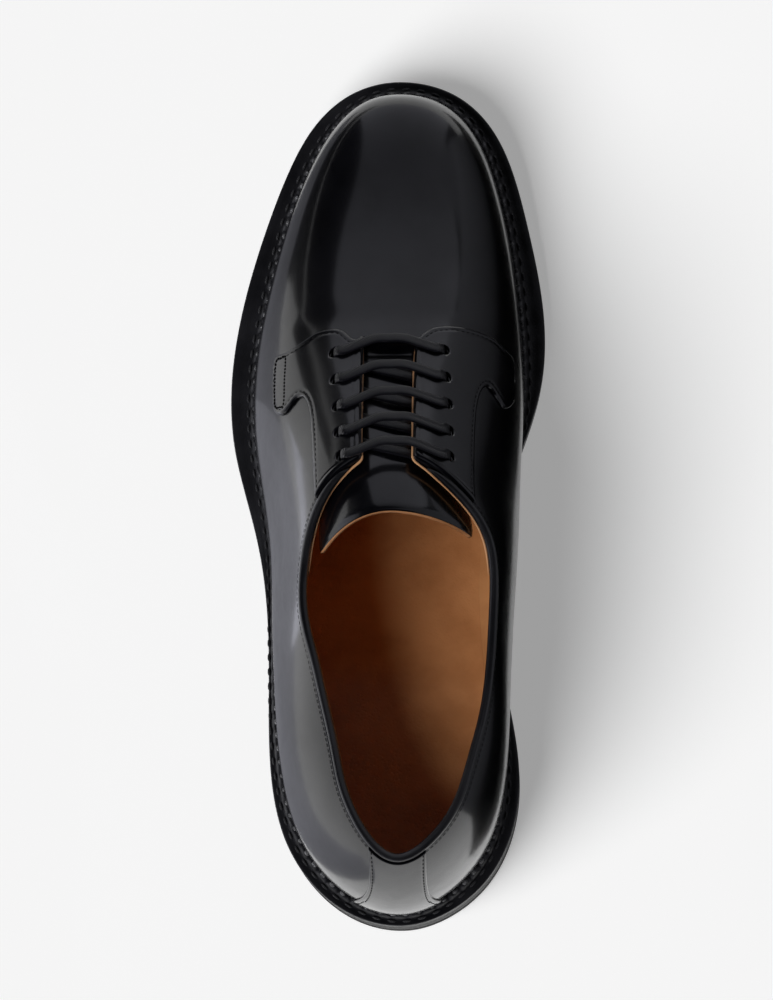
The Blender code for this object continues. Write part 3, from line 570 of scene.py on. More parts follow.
def edge_angle(t, side, drop=0.0):
    """Girth angle of the opening's edge on one side, 1 outer or -1 inner: set by the topline's height
    behind, by half the throat's gap in front, and rounded where the two meet."""
    angles = np.linspace(0, np.pi / 2, 721)
    theta = on_side(angles, side)
    found = []
    for station in np.atleast_1d(t):
        x, height, _ = section(station, theta)
        top = column(TOPLINE, 1 if side == 1 else 2, station) - drop
        by_height = np.interp(top, feather_height(station) + height, angles)
        if station > COLLAR_ONLY_UP_TO:
            away = (x - end_round(RIDGE, 2, station)) * side
            by_gap = np.interp(-THROAT_HALF_GAP, -away, angles)
            k = CORNER_SHARPNESS
            by_height = -np.log(np.exp(-k * by_height) + np.exp(-k * by_gap)) / k
        found.append(by_height)
    return on_side(np.array(found), side)


def upper_edge(stations, side, drop):
    """Girth angle of the wall's upper edge, carried on at a steady angle in front of the throat."""
    open_part = stations <= THROAT_FRONT + 1e-6
    edge = np.empty(len(stations))
    edge[open_part] = edge_angle(stations[open_part], side, drop)
    edge[~open_part] = edge[open_part][-1]
    return edge


def angle_at(x, t):
    """Girth angle of the point of the last's upper half that lies over this offset and station."""
    angles = np.linspace(0.25, np.pi - 0.25, 1200)
    return np.interp(-x, -last_point(t, angles)[:, 0], angles)


def angles_under(plan):
    """Girth angle at each row of offsets and stations."""
    return np.array([angle_at(x, t) for x, t in plan[:, :2]])


def eyelet_holes(pairs):
    """Each hole as its girth angle, its station, and what one step of either moves on the surface."""
    holes = []
    for x, t in pairs:
        theta = angle_at(x, t)
        around = (last_point(t, theta + 1e-3) - last_point(t, theta - 1e-3)) / 2e-3
        along = (last_point(t + 0.1, theta) - last_point(t - 0.1, theta)) / 0.2
        holes.append((theta, t, around, along))
    return holes


def punch(t, theta, quads, holes, radius, reach):
    """Moves the grid's points near each hole onto its circle, measured on the surface, and drops the quads
    that lie inside."""
    inside = np.zeros(t.size, bool)
    t, theta = t.reshape(-1).copy(), theta.reshape(-1).copy()
    for angle, station, around, along in holes:
        da, dt = theta - angle, t - station
        far = np.linalg.norm(around * da[:, None] + along * dt[:, None], axis=1)
        near = far < radius + reach
        pull = radius / np.maximum(far[near], 1e-6)
        theta[near] = angle + da[near] * pull
        t[near] = station + dt[near] * pull
        inside |= near
    return t, theta, quads[~inside[quads].all(axis=1)]


black_calf = leather("black_calf", (0.0012, 0.0012, 0.0019), (0.0026, 0.0026, 0.0038), scale=1.6, pores=0.5,
                     dull=0.36, bright=0.28, bump=0.022, coat=0.95, coat_roughness=0.14, base_shine=0.2)
lining_tan = leather("lining_tan", TAN_DARK, (0.60, 0.29, 0.118), scale=0.7, pores=0.45, dull=0.62,
                     bright=0.48, bump=0.10)


# Soft hollows and swellings that lasting leaves: station, girth angle in degrees, reach along, reach round
# in degrees, depth
CREASES = np.array([
    (208.0, 62, 5.0, 22, 0.35), (209.0, 118, 5.0, 20, 0.30), (150.0, 30, 26.0, 9, 0.5),
    (128.0, 24, 14.0, 10, 0.35), (92.0, 34, 22.0, 12, 0.35), (100.0, 150, 26.0, 12, 0.35),
    (226.0, 32, 14.0, 14, -0.25), (238.0, 150, 18.0, 14, -0.2),
])


def creases(t, theta):
    """Depth under the last's surface: the sum of one bell for each row of the table."""
    sunk = np.zeros(t.shape)
    for station, angle, along, around, depth in CREASES:
        sunk += depth * np.exp(-(((t - station) / along) ** 2) - ((np.degrees(theta) - angle) / around) ** 2)
    return sunk


def make_upper():
    """Grids of the two sides and of the vamp between them, sunk at the creases, with the wall inside."""
    behind, throat, vamp, girth, bridge = 150, 38, 96, 62, 26
    shares = share_of(np.array([THROAT_CORNER, THROAT_FRONT]), UPPER_HEEL, UPPER_TOE)
    share = np.concatenate([np.linspace(0, shares[0], behind, endpoint=False),
                            np.linspace(shares[0], shares[1], throat, endpoint=False),
                            np.linspace(shares[1], 1, vamp + 1)])
    stations = station_of(share, UPPER_HEEL, UPPER_TOE)
    rows = np.linspace(0, 1, girth + 1)[None, :]
    edges = [upper_edge(stations, side, BINDING_HEIGHT + GAP) for side in (1, -1)]
    front = stations >= THROAT_FRONT - 1e-6
    across = np.linspace(0, 1, bridge + 1)[None, :]
    sheets = [(stations[:, None], edges[0][:, None] * rows),
              (stations[:, None], np.pi - (np.pi - edges[1][:, None]) * rows),
              (stations[front, None], edges[0][front, None] * (1 - across) + edges[1][front, None] * across)]
    holes = [eyelet_holes(EYELETS[:, :2]), eyelet_holes(EYELETS[:, 2:]), []]
    points, quads, start = [], [], 0
    for (t, theta), pierced in zip(sheets, holes):
        t = t + 0 * theta
        faces = grid_faces(*t.shape)
        t, theta, faces = punch(t, theta, faces, pierced, EYELET_RADIUS, UPPER_CELL)
        sheet = last_point(t, theta) - last_normal(t, theta) * creases(t, theta)[:, None]
        points.append(sheet)
        quads.append(faces + start)
        start += len(sheet)
    made = sheet_mesh("upper_leather", np.concatenate(points), np.concatenate(quads), [black_calf, lining_tan])
    mesh = made.data
    outward = sum((p.center - Vector((0, 0, 0.04))).dot(p.normal) * p.area for p in mesh.polygons)
    if outward < 0:
        mesh.flip_normals()
    wall = made.modifiers.new("wall", "SOLIDIFY")
    wall.thickness = WALL * MM
    wall.offset = -1.0
    wall.use_even_offset = False
    wall.use_quality_normals = True
    wall.material_offset = 1
    put(made, "upper")


make_upper()

# Eyestays
# The two facings lie over the quarters: black calf with folded edges, sewn round with one row of fine
# stitches and tacked at the outer corner with a small box of them. Five holes each, without rings.

OVERLAY_THICK, FOLD, SEAM_INSET = 1.1, 0.9, 1.9
OVERLAY_STEP, OVERLAY_CELL, EDGE_REACH = 0.42, 0.25, 0.45
FACING_FOOT, FACING_STATIONS = np.radians(22), (127.0, 207.5)
SEAM_ENDS_AT, SEAM_OFF_THROAT = 132.0, {1: 13.0, -1: 8.0}
GIRTH_RADIUS = 46.0

# Outline of each facing seen from above, from the throat's front corner round to the topline:
# offset to the outer side, station
FACING_OUTER = np.array([
    (5, 199.4), (13.6, 199.4), (16.0, 200.8), (18.2, 202.9), (21.6, 203.9), (27.2, 203.1), (32.2, 200.2),
    (37.5, 197.3), (41.7, 196.3), (42.8, 190.0), (42.6, 182.0), (41.6, 176.0), (38.9, 174.6), (35.9, 177.2),
    (33.5, 179.6), (31.2, 178.8), (29.3, 174.2), (28.2, 165.8), (27.2, 152.2), (26.4, 139.0), (26.0, 124.0),
    (5, 124.0),
])
FACING_INNER = np.array([
    (0, 199.8), (-6.6, 199.8), (-9.0, 201.6), (-12.4, 204.0), (-18.8, 205.0), (-26.5, 204.2), (-32.6, 202.4),
    (-36.0, 199.6), (-38.9, 197.0), (-39.6, 189.0), (-39.2, 180.8), (-36.4, 177.8), (-33.6, 181.2),
    (-30.9, 184.2), (-28.4, 181.4), (-26.9, 174.2), (-26.2, 162.0), (-26.3, 148.0), (-26.8, 139.0),
    (-27.2, 124.0), (0, 124.0),
])


def between(p0, p1, p2, p3, f):
    """Catmull-Rom curve from p1 to p2 at the share f of the way."""
    bend = (2 * p0 - 5 * p1 + 4 * p2 - p3) * f**2
    return (2 * p1 + (p2 - p0) * f + bend + (3 * p1 - p0 - 3 * p2 + p3) * f**3) / 2


def smooth_loop(points, steps):
    """Closed smooth curve through points, with this many steps between each two."""
    shifted = [np.roll(points, k, axis=0)[:, None] for k in (1, 0, -1, -2)]
    f = np.linspace(0, 1, steps, endpoint=False)[None, :, None]
    return between(*shifted, f).reshape(-1, points.shape[1])


def smooth_path(points, steps):
    """Open smooth curve through points, with this many steps between each two."""
    points = np.asarray(points, float)
    ends = np.concatenate([[2 * points[0] - points[1]], points, [2 * points[-1] - points[-2]]])
    shifted = [ends[k : len(ends) - 3 + k][:, None] for k in range(4)]
    f = np.linspace(0, 1, steps, endpoint=False)[None, :, None]
    return np.concatenate([between(*shifted, f).reshape(-1, points.shape[1]), points[-1:]])


def unit(vectors):
    return vectors / (np.linalg.norm(vectors, axis=-1, keepdims=True) + 1e-12)


def walked(path):
    """Length walked along a path up to each of its points."""
    return np.concatenate([[0], np.cumsum(np.linalg.norm(np.diff(path, axis=0), axis=1))])


def closed(rows):
    return np.concatenate([rows, rows[:1]])


def to_outline(points, loop, loop_params):
    """For each point its distance to a closed outline, positive inside as seen from above, and the
    outline's own parameters at the nearest place."""
    a, b = loop, np.roll(loop, -1, axis=0)
    step = b - a
    best = np.full(len(points), np.inf)
    nearest = np.zeros((len(points), 2))
    after = np.roll(loop_params, -1, axis=0)
    inside = np.zeros(len(points), bool)
    for k in range(len(a)):
        f = np.clip(((points - a[k]) @ step[k]) / (step[k] @ step[k]), 0, 1)
        far = np.linalg.norm(points - a[k] - f[:, None] * step[k], axis=1)
        closer = far < best
        best[closer] = far[closer]
        nearest[closer] = (loop_params[k] * (1 - f[:, None]) + after[k] * f[:, None])[closer]
        spans = (a[k, 1] > points[:, 1]) != (b[k, 1] > points[:, 1])
        rise = step[k, 1] if abs(step[k, 1]) > 1e-9 else 1e-9
        crossing = a[k, 0] + (points[:, 1] - a[k, 1]) * step[k, 0] / rise
        inside ^= spans & (points[:, 0] < crossing)
    return np.where(inside, best, -best), nearest


def fold_height(depth, thick):
    """Rounded folded edge: a quarter circle over the width of the fold."""
    return thick * np.sqrt(np.clip(1 - (1 - np.clip(depth / FOLD, 0, 1)) ** 2, 0, 1))


def overlay(name, t, theta, loop, holes, edge_depth, node_name):
    """Overlay of the last's surface, trimmed to its outline: grid points just outside are drawn onto it,
    quads beyond are dropped, the edge is folded round and the seam sunk a little."""
    quads = grid_faces(*t.shape)
    t, theta, quads = punch(t, theta, quads, holes, EYELET_RADIUS, OVERLAY_CELL)
    loop_params = np.stack([angles_under(loop), loop[:, 1]], -1)
    loop_points = last_point(loop_params[:, 1], loop_params[:, 0])
    depth, nearest = to_outline(last_point(t, theta), loop_points, loop_params)
    outside = (depth < 0) & (depth > -EDGE_REACH)
    theta = np.where(outside, nearest[:, 0], theta)
    t = np.where(outside, nearest[:, 1], t)
    quads = quads[(depth[quads] > -EDGE_REACH).all(axis=1)]
    depth = np.minimum(np.maximum(depth, 0), edge_depth.reshape(-1))
    used = np.unique(quads)
    renumber = np.zeros(len(t), int)
    renumber[used] = np.arange(len(used))
    quads, t, theta, depth = renumber[quads], t[used], theta[used], depth[used]
    base, normal = last_point(t, theta), last_normal(t, theta)
    groove = 0.16 * np.exp(-(((depth - SEAM_INSET) / 0.38) ** 2))
    top = base + normal * (GAP + fold_height(depth, OVERLAY_THICK) - groove)[:, None]
    put(shell(name, top, base + normal * GAP * 0.6, quads, [black_calf] * 3), node_name)


def stitches(name, path, normals, look, pitch, length, width, tall=0.5):
    """Row of stitches: small rounded bars of thread along a path, each lying on the leather's surface."""
    walk = walked(path)
    count = max(int(walk[-1] / pitch), 1)
    at = (np.arange(count) + 0.5) * walk[-1] / count

    def read(rows, shift=0.0):
        return np.stack([np.interp(at + shift, walk, rows[:, k]) for k in range(3)], -1)

    centre, up = read(path), unit(read(normals))
    ahead = unit(read(path, 0.3) - read(path, -0.3))
    side = np.cross(ahead, up)
    around, rings = 8, 7
    turn = np.linspace(0, 2 * np.pi, around, endpoint=False)[None, :]
    s = np.linspace(-1, 1, rings)[:, None]
    thick = np.sqrt(np.clip(1 - np.abs(s) ** 3, 0, 1)) + 0.02
    form = np.stack([s * length / 2 + 0 * turn, thick * np.cos(turn) * width / 2,
                     thick * np.sin(turn) * width * tall - np.abs(s) ** 2 * width * 0.25], -1).reshape(-1, 3)
    axes = np.stack([ahead, side, up], 1)
    points = centre[:, None] + np.einsum("pk,nkj->npj", form, axes)
    faces = grid_faces(rings, around, closed=True)
    faces = (faces[None] + np.arange(count)[:, None, None] * len(form)).reshape(-1, 4)
    made = sheet_mesh(name, points.reshape(-1, 3), faces, [look], merge=0.0001)
    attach(made, "root")


def make_thread_look(name, dark, light, roughness, shine=0.5):
    """Waxed thread: two twisted plies as fine slanting bands, with a lighter colour between them: a little
    wax, and on the welt's thread a painted highlight for the glints of its stitches.
    """
    look, tree = blank_material(name)
    where = place_of(tree)
    ply = node(tree, "TexWave", {"Vector": where, "Scale": 900.0, "Distortion": 1.5}, wave_type="BANDS",
               bands_direction="DIAGONAL").outputs["Fac"]
    fluff = noise(tree, where, 2600.0, 2.0)
    colour = blend(tree, calc(tree, "MULTIPLY", ply, fluff), dark + (1,), light + (1,))
    rough = calc(tree, "MULTIPLY_ADD", fluff, 0.2, roughness)
    surface(tree, colour, rough, relief(tree, ply, 0.1, 0.5), Specular_IOR_Level=shine)
    return look


black_thread = make_thread_look("black_thread", (0.001, 0.001, 0.001), (0.004, 0.004, 0.005), 0.5, 0.1)


def make_facing(name, side, outline, pairs, node_name):
    """One facing: a grid between a steady girth angle and the wall's edge, trimmed to its outline, and the
    seam inside the outline wherever that lies on the wall, but not along the throat."""
    back, front = FACING_STATIONS
    stations = np.concatenate([np.arange(back, THROAT_FRONT, OVERLAY_STEP),
                               np.arange(THROAT_FRONT, front, OVERLAY_STEP)])
    low = on_side(FACING_FOOT, side)
    high = upper_edge(stations, side, BINDING_HEIGHT + 2 * GAP)
    share = np.linspace(0, 1, 92)[None, :]
    theta = low * (1 - share) + high[:, None] * share
    t = stations[:, None] + 0 * theta
    arc = np.abs(high[:, None] - theta) * GIRTH_RADIUS
    loop = smooth_loop(outline, 8)
    overlay(name, t, theta, loop, eyelet_holes(pairs), arc, node_name)
    angle = angles_under(loop)
    points, normal = last_point(loop[:, 1], angle), last_normal(loop[:, 1], angle)
    ahead = unit(np.roll(points, -1, axis=0) - np.roll(points, 1, axis=0))
    inward = np.cross(normal, ahead)
    if np.sum((outline.mean(axis=0) - points[:, :2]) * inward[:, :2]) < 0:
        inward = -inward
    seam = points + inward * SEAM_INSET
    topline = upper_edge(seam[:, 1], side, BINDING_HEIGHT + 2 * GAP)
    shown = (loop[:, 1] > SEAM_ENDS_AT) & (loop[:, 0] * side > SEAM_OFF_THROAT[side])
    shown &= (topline - angles_under(seam)) * side > 0
    order = np.flatnonzero(shown)
    for number, part in enumerate(np.split(order, np.flatnonzero(np.diff(order) > 1) + 1)):
        if len(part) > 8:
            up = normal[part]
            path = seam[part] + up * (GAP + OVERLAY_THICK - 0.12)
            stitches(f"{name}_seam_{number}", path, up, black_thread,
                     pitch=2.1, length=1.55, width=0.36, tall=0.35)


def tack_box():
    """Small closed box of stitches at the outer facing's corner, given as offsets and stations."""
    corners = np.array([(37.8, 195.0), (37.9, 187.0), (38.0, 178.2), (39.6, 177.2), (41.2, 178.4),
                        (41.4, 187.0), (41.0, 194.4), (39.4, 195.2)])
    loop = smooth_loop(corners, 8)
    angle = angles_under(loop)
    normal = last_normal(loop[:, 1], angle)
    path = last_point(loop[:, 1], angle) + normal * (GAP + OVERLAY_THICK - 0.05)
    stitches("facing_outer_tack", closed(path), closed(normal), black_thread,
             pitch=1.35, length=1.3, width=0.75)


make_facing("facing_outer_leather", 1, FACING_OUTER, EYELETS[:, :2], "facing_outer")
tack_box()
make_facing("facing_inner_leather", -1, FACING_INNER, EYELETS[:, 2:], "facing_inner")

# Backstay
# A narrow strip of the same calf covers the heel seam, flares at its foot and is sewn down both edges.

# Outline of the backstay seen from behind: height, outer edge, inner edge
BACKSTAY = np.array([
    (24, 18.0, -17.0), (40, 17.0, -16.0), (52, 14.4, -13.4), (62, 11.4, -11.2), (74, 9.2, -10.4),
    (86, 8.6, -10.2), (104, 8.6, -10.4),
])
BACKSTAY_FOOT, BACKSTAY_TOP, BACKSTAY_REACH = 3.2, 96.0, 34.0
BACKSTAY_THICK, BACKSTAY_SEAM = 0.8, 1.6


def backstay_base(rows, columns):
    """Points on the last round the heel, in rows of one height from the strip's inner edge to its outer one:
    the last's lines of one station are read at the height, then at the wanted offset."""
    heights = np.linspace(feather_height(0) + BACKSTAY_FOOT, BACKSTAY_TOP, rows)
    outer, inner = column(BACKSTAY, 1, heights), column(BACKSTAY, 2, heights)
    w = np.linspace(0, 1, columns)[None, :]
    wanted = inner[:, None] * (1 - w) + outer[:, None] * w
    stations = stations_up_to(BACKSTAY_REACH, UPPER_HEEL, UPPER_TOE, 140)
    base = np.zeros((rows, columns, 3))
    for side in (1, -1):
        field = last_point(stations[:, None], on_side(np.linspace(0, np.pi / 2, 500), side)[None, :])
        for r, height in enumerate(heights):
            level = np.array([[np.interp(height, line[:, 2], line[:, k]) for k in (0, 1)] for line in field])
            chosen = wanted[r] >= 0 if side == 1 else wanted[r] < 0
            base[r, chosen, 0] = wanted[r, chosen]
            base[r, chosen, 1] = np.interp(np.abs(wanted[r, chosen]), level[:, 0] * side, level[:, 1])
            base[r, chosen, 2] = height
    return base


def make_backstay():
    """The strip folded down at both edges, with a seam sunk a little beside each."""
    rows, columns = 120, 61
    base = backstay_base(rows, columns)
    along, around = np.gradient(base, axis=0), np.gradient(base, axis=1)
    normal = unit(np.cross(around, along))
    normal *= np.where(normal[..., 1:2] > 0, -1, 1)
    from_left = np.cumsum(np.linalg.norm(around, axis=-1), axis=1)
    depth = np.minimum(from_left - from_left[:, :1], from_left[:, -1:] - from_left)
    groove = 0.14 * np.exp(-(((depth - BACKSTAY_SEAM) / 0.35) ** 2))
    top = base + normal * (GAP + fold_height(depth, BACKSTAY_THICK) - groove)[..., None]
    quads = grid_faces(rows, columns)
    put(shell("backstay_leather", top, base + normal * GAP * 0.6, quads, [black_calf] * 3), "backstay")
    place_across = np.arange(columns)[None, :]
    for label, other_half in (("inner", place_across > columns // 2), ("outer", place_across < columns // 2)):
        at = np.argmin(np.abs(depth - BACKSTAY_SEAM) + other_half * 9, axis=1)
        path, up = top[np.arange(rows), at], normal[np.arange(rows), at]
        stitches(f"backstay_seam_{label}", path, up, black_thread,
                 pitch=2.3, length=1.7, width=0.5)


make_backstay()

# Collar binding
# A strip of black leather rolled over the topline and sewn through, from one facing round the heel to the
# other. The leather is softer and less polished than the calf.

ROLL_WIDTH, ROLL_HEIGHT, BINDING_TAPER = 3.1, 2.5, 14.0
binding_black = leather("binding_black", (0.004, 0.004, 0.005), (0.011, 0.011, 0.013), scale=1.8, pores=0.6,
                        dull=0.42, bright=0.3, bump=0.05, coat=0.4, coat_roughness=0.16)


def tube(name, path, across, up, width, height, look, sides=16, square=2.0, taper=0.0):
    """Closed cord of a superellipse section carried along a path with its two axes. Over the length of the
    taper both ends grow as the square root of a sine, and both are closed."""
    turn = np.linspace(0, 2 * np.pi, sides, endpoint=False)
    c, s = np.cos(turn), np.sin(turn)
    wide = np.sign(c) * np.abs(c) ** (2 / square) * width / 2
    deep = np.sign(s) * np.abs(s) ** (2 / square) * height / 2
    walk = walked(path)
    near_end = np.minimum(walk, walk[-1] - walk) / max(taper, 1e-6)
    size = np.sqrt(np.sin(np.clip(near_end, 0.02, 1) * np.pi / 2))[:, None, None] if taper else 1.0
    rings = path[:, None] + (across[:, None] * wide[None, :, None] + up[:, None] * deep[None, :, None]) * size
    caps = [np.repeat(path[k][None, None], sides, axis=1) for k in (0, -1)]
    rings = np.concatenate([caps[0], rings, caps[1]])
    faces = grid_faces(len(rings), sides, closed=True)
    return sheet_mesh(name, rings.reshape(-1, 3), faces, [look], merge=0.002)


def make_binding():
    """Tube on the wall's upper edge, set in over the wall's thickness."""
    stations = stations_up_to(THROAT_CORNER - BINDING_STOP, UPPER_HEEL, UPPER_TOE, 130)[::-1]
    drop = BINDING_HEIGHT + GAP
    sides = []
    for side in (1, -1):
        edge = edge_angle(stations, side, drop)
        at = last_point(stations, edge)
        sides.append((at, at - last_point(stations, edge - side * 0.02)))
    outer, inner = sides
    path = np.concatenate([outer[0], inner[0][-2::-1]])
    up = unit(np.concatenate([outer[1], inner[1][-2::-1]]))
    along = unit(np.gradient(path, axis=0))
    up = unit(up - along * np.sum(up * along, -1, keepdims=True))
    across = np.cross(along, up)
    across *= np.where(np.sum(across * (path - [0, 80.0, 60.0]) * [1, 1, 0], -1, keepdims=True) < 0, -1, 1)
    centre = path + up * (GAP + BINDING_HEIGHT / 2 - 0.25) - across * (WALL / 2 - 0.15)
    put(tube("collar_binding_roll", centre, across, up, ROLL_WIDTH, ROLL_HEIGHT, binding_black, square=2.4,
             taper=BINDING_TAPER), "collar_binding")
    stitches("collar_seam", path - up * 1.3 + across * 0.2, across, black_thread,
             pitch=2.0, length=1.6, width=0.26, tall=0.3)


make_binding()

cut_edge = leather("cut_edge", (0.34, 0.17, 0.08), (0.60, 0.33, 0.17), scale=2.4, pores=0.7, dull=0.8,
                   bright=0.65, bump=0.06)
LINING_EDGE_FRONT, LINING_EDGE_BACK, LINING_EDGE_INSET = 196.5, 116.0, 0.9
LINING_EDGE_WIDTH, LINING_EDGE_THICK, LINING_EDGE_TAPER = 0.95, 0.8, 10.0
THROAT_LINE_END, COLLAR_LINE_START = 160.0, 148.0


def smooth_step(value, low, high):
    share = np.clip((value - low) / (high - low), 0, 1)
    return share**2 * (3 - 2 * share)


def make_lining_edge(side, name):
    """Cut edge of the lining: a thin line down the throat's rim, then on inside along the binding."""
    stations = np.arange(LINING_EDGE_FRONT, LINING_EDGE_BACK, -0.75)
    turn = smooth_step(stations, THROAT_LINE_END, COLLAR_LINE_START)
    drop = BINDING_HEIGHT + GAP
    edge = edge_angle(stations, side, drop) * (1 - turn) + edge_angle(stations, side, drop - 0.8) * turn
    normal = last_normal(stations, edge)
    path = last_point(stations, edge) - normal * (LINING_EDGE_INSET + (WALL + 0.05) * turn)[:, None]
    across = unit(np.cross(unit(np.gradient(path, axis=0)), normal))
    made = tube(name, path, across, normal, LINING_EDGE_WIDTH, LINING_EDGE_THICK, cut_edge,
                sides=12, taper=LINING_EDGE_TAPER)
    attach(made, "root")


make_lining_edge(1, "lining_edge_outer")
make_lining_edge(-1, "lining_edge_inner")

# Tongue
# One piece of black leather backed with tan lining, its edge cut raw and pared, sewn in under the vamp and
# bent over the instep like a saddle.

TONGUE_SIDES = np.array([(118, 46, 133), (150, 51, 130), (175, 55, 125), (212, 60, 118)])
TONGUE_TOP, TONGUE_FRONT = 138.2, 211.0
TONGUE_DROP_OUTER, TONGUE_DROP_INNER = 0.0073, 0.0044
TONGUE_DEPTH, TONGUE_THICK = 5.1, 2.0
TONGUE_RAMP = (197.0, 203.0)
raw_edge = leather("raw_edge", (0.22, 0.09, 0.03), (0.42, 0.20, 0.09), scale=2.4, pores=0.9, dull=0.85,
                   bright=0.7, bump=0.14)


def make_tongue():
    """A sheet set in under the last's surface, ramped up at its front to meet the vamp."""
    across = np.linspace(0, 1, 81)
    share = np.concatenate([np.linspace(0, 0.80, 90, endpoint=False), np.linspace(0.80, 1, 40)])
    top_angle = TONGUE_SIDES[0, 1] * (1 - across) + TONGUE_SIDES[0, 2] * across
    off_centre = top_angle - 90
    drop = np.where(off_centre < 0, TONGUE_DROP_OUTER, TONGUE_DROP_INNER) * off_centre**2
    t = (TONGUE_TOP - drop)[None, :] * (1 - share[:, None]) + TONGUE_FRONT * share[:, None]
    outer = np.interp(t, TONGUE_SIDES[:, 0], TONGUE_SIDES[:, 1])
    inner = np.interp(t, TONGUE_SIDES[:, 0], TONGUE_SIDES[:, 2])
    theta = np.radians(outer * (1 - across[None, :]) + inner * across[None, :])
    depth = TONGUE_DEPTH + (WALL + GAP - TONGUE_DEPTH) * smooth_step(t, *TONGUE_RAMP)
    normal = last_normal(t, theta)
    base = last_point(t, theta) - normal * depth[..., None]
    pared = 0.5 * np.exp(-(((t - t[:1]) / 1.6) ** 2))
    wave = 0.35 * np.sin(t / 4.3 + 1.2 * np.cos(theta * 3)) * np.exp(-(((t - 178) / 16) ** 2))
    top = base - normal * (pared - wave)[..., None]
    looks = [black_calf, lining_tan, raw_edge]
    put(shell("tongue_leather", top, base - normal * TONGUE_THICK, grid_faces(*t.shape), looks), "tongue")


make_tongue()

# Lace
# One flat waxed cotton lace. It comes up through each inner eyelet, crosses the throat as a bar, goes down
# through the outer one and slants back beneath. Both ends stop inside at the top eyelets.

LACE_WIDTH, LACE_THICK = 3.7, 1.3
LACE_ASIDE, LACE_BOW = 6.5, 3.6
LACE_STRAND = 0.75
# Way up through an eyelet: share of the rise above the last or below it, step towards the throat
LACE_CLIMB = np.array([(-1.0, 0.2), (-0.2, 0.0), (0.5, 0.2), (1.0, 1.5), (1.04, 3.8)])


def over_last(x, t, rise):
    """Point that stands off the last's upper half by rise, over this offset and station."""
    theta = angle_at(x, t)
    return last_point(t, theta) + last_normal(t, theta) * rise


def lace_route():
    """Points of the lace with its width axis: its solid's route, with each bar bowed a little to the toe."""
    over = GAP + OVERLAY_THICK + GAP + LACE_THICK / 2
    under = WALL + 2 * GAP + LACE_THICK / 2
    places = [[over_last(x, t, 0) for x, t in (row[:2], row[2:])] for row in EYELETS]
    rows = []
    along = unit(places[-1][1] - places[0][1])
    sideways = np.array([1.0, 0, 0])

    def add(x, t, rise, width=along):
        rows.append(np.concatenate([over_last(x, t, rise), width]))

    def between_places(start, finish, share):
        return (start * (1 - share) + finish * share)[:2]

    def through(eyelet, toward, order, first):
        for share, shift in LACE_CLIMB[::order]:
            rise = share * (over if share > 0 else under)
            add(eyelet[0] + toward * (first if share == LACE_CLIMB[0, 0] else shift), eyelet[1], rise)

    for share in (1.0, 0.75, 0.5, 0.25, 0.07):
        x, t = between_places(places[0][1], places[-1][1], share)
        add(x - LACE_ASIDE, t, -under - 0.4, sideways)
    for i, (outer, inner) in enumerate(places):
        through(inner, 1, 1, -1.6 if i == 0 else 1.2)
        for share in (0.35, 0.5, 0.65):
            x, t = between_places(inner, outer, share)
            add(x, t + LACE_BOW * 4 * share * (1 - share), over + 0.1)
        last = i == len(places) - 1
        through(outer, -1, -1, -1.6 if last else 1.2)
        if last:
            add(outer[0] + 5.0, outer[1] - 1.0, -under - 0.15)
            continue
        for share in (0.16, 0.5, 0.84):
            add(*between_places(outer, places[i + 1][1], share), -under - 0.2)
    return np.array(rows)


def make_lace_look():
    """Waxed flat braid: herringbone of fine strands across the lace, from its own map, with a wax shine."""
    look, tree = blank_material("waxed_lace")
    parts = node(tree, "SeparateXYZ", [node(tree, "UVMap", uv_map="braid").outputs[0]])
    across = calc(tree, "PINGPONG", parts.outputs[1], 0.25)
    slant = calc(tree, "MULTIPLY_ADD", across, 6.0, parts.outputs[0])
    strand = ramp(tree, calc(tree, "PINGPONG", slant, 0.5), 0.04, 0.42)
    wear = noise(tree, place_of(tree), 420.0, 3.0)
    share = calc(tree, "MULTIPLY", strand, wear)
    colour = blend(tree, share, (0.002, 0.002, 0.003, 1), (0.009, 0.009, 0.012, 1))
    surface(tree, colour, calc(tree, "MULTIPLY_ADD", wear, 0.2, 0.24), relief(tree, strand, 0.12, 0.7))
    return look


def make_lace():
    """Flat rounded section carried along the route, mapped by its length in strands and its girth."""
    curve = smooth_path(lace_route(), 7)
    path = curve[:, :3]
    tangent = unit(np.gradient(path, axis=0))
    width = unit(curve[:, 3:] - tangent * np.sum(curve[:, 3:] * tangent, -1, keepdims=True))
    thick = np.cross(tangent, width)
    look = make_lace_look()
    made = tube("lace_braid", path, width, thick, LACE_WIDTH, LACE_THICK, look, sides=20, square=3.0)
    mesh = made.data
    at = np.empty(len(mesh.vertices) * 3)
    mesh.vertices.foreach_get("co", at)
    at = at.reshape(-1, 3)
    world_path = place(path)
    nearest = np.array([np.argmin(np.sum((world_path - p) ** 2, axis=1)) for p in at])
    offset = at - world_path[nearest]
    axes = [unit(place(v) - place(np.zeros(3)))[nearest] for v in (width, thick)]
    girth = np.arctan2(np.sum(offset * axes[1], 1), np.sum(offset * axes[0], 1)) / (2 * np.pi) + 0.5
    corner = np.empty(len(mesh.loops), np.int32)
    mesh.loops.foreach_get("vertex_index", corner)
    layer = mesh.uv_layers.new(name="braid")
    length = walked(path)[nearest] / LACE_STRAND
    layer.data.foreach_set("uv", np.stack([length[corner], girth[corner]], -1).ravel())
    put(made, "lace")


make_lace()

# Storm welt
# A strip of black inked leather sewn to the upper and to the outsole. Its ridge stands against the upper,
# notched between the stitches; the second row of stitches holds the outsole.

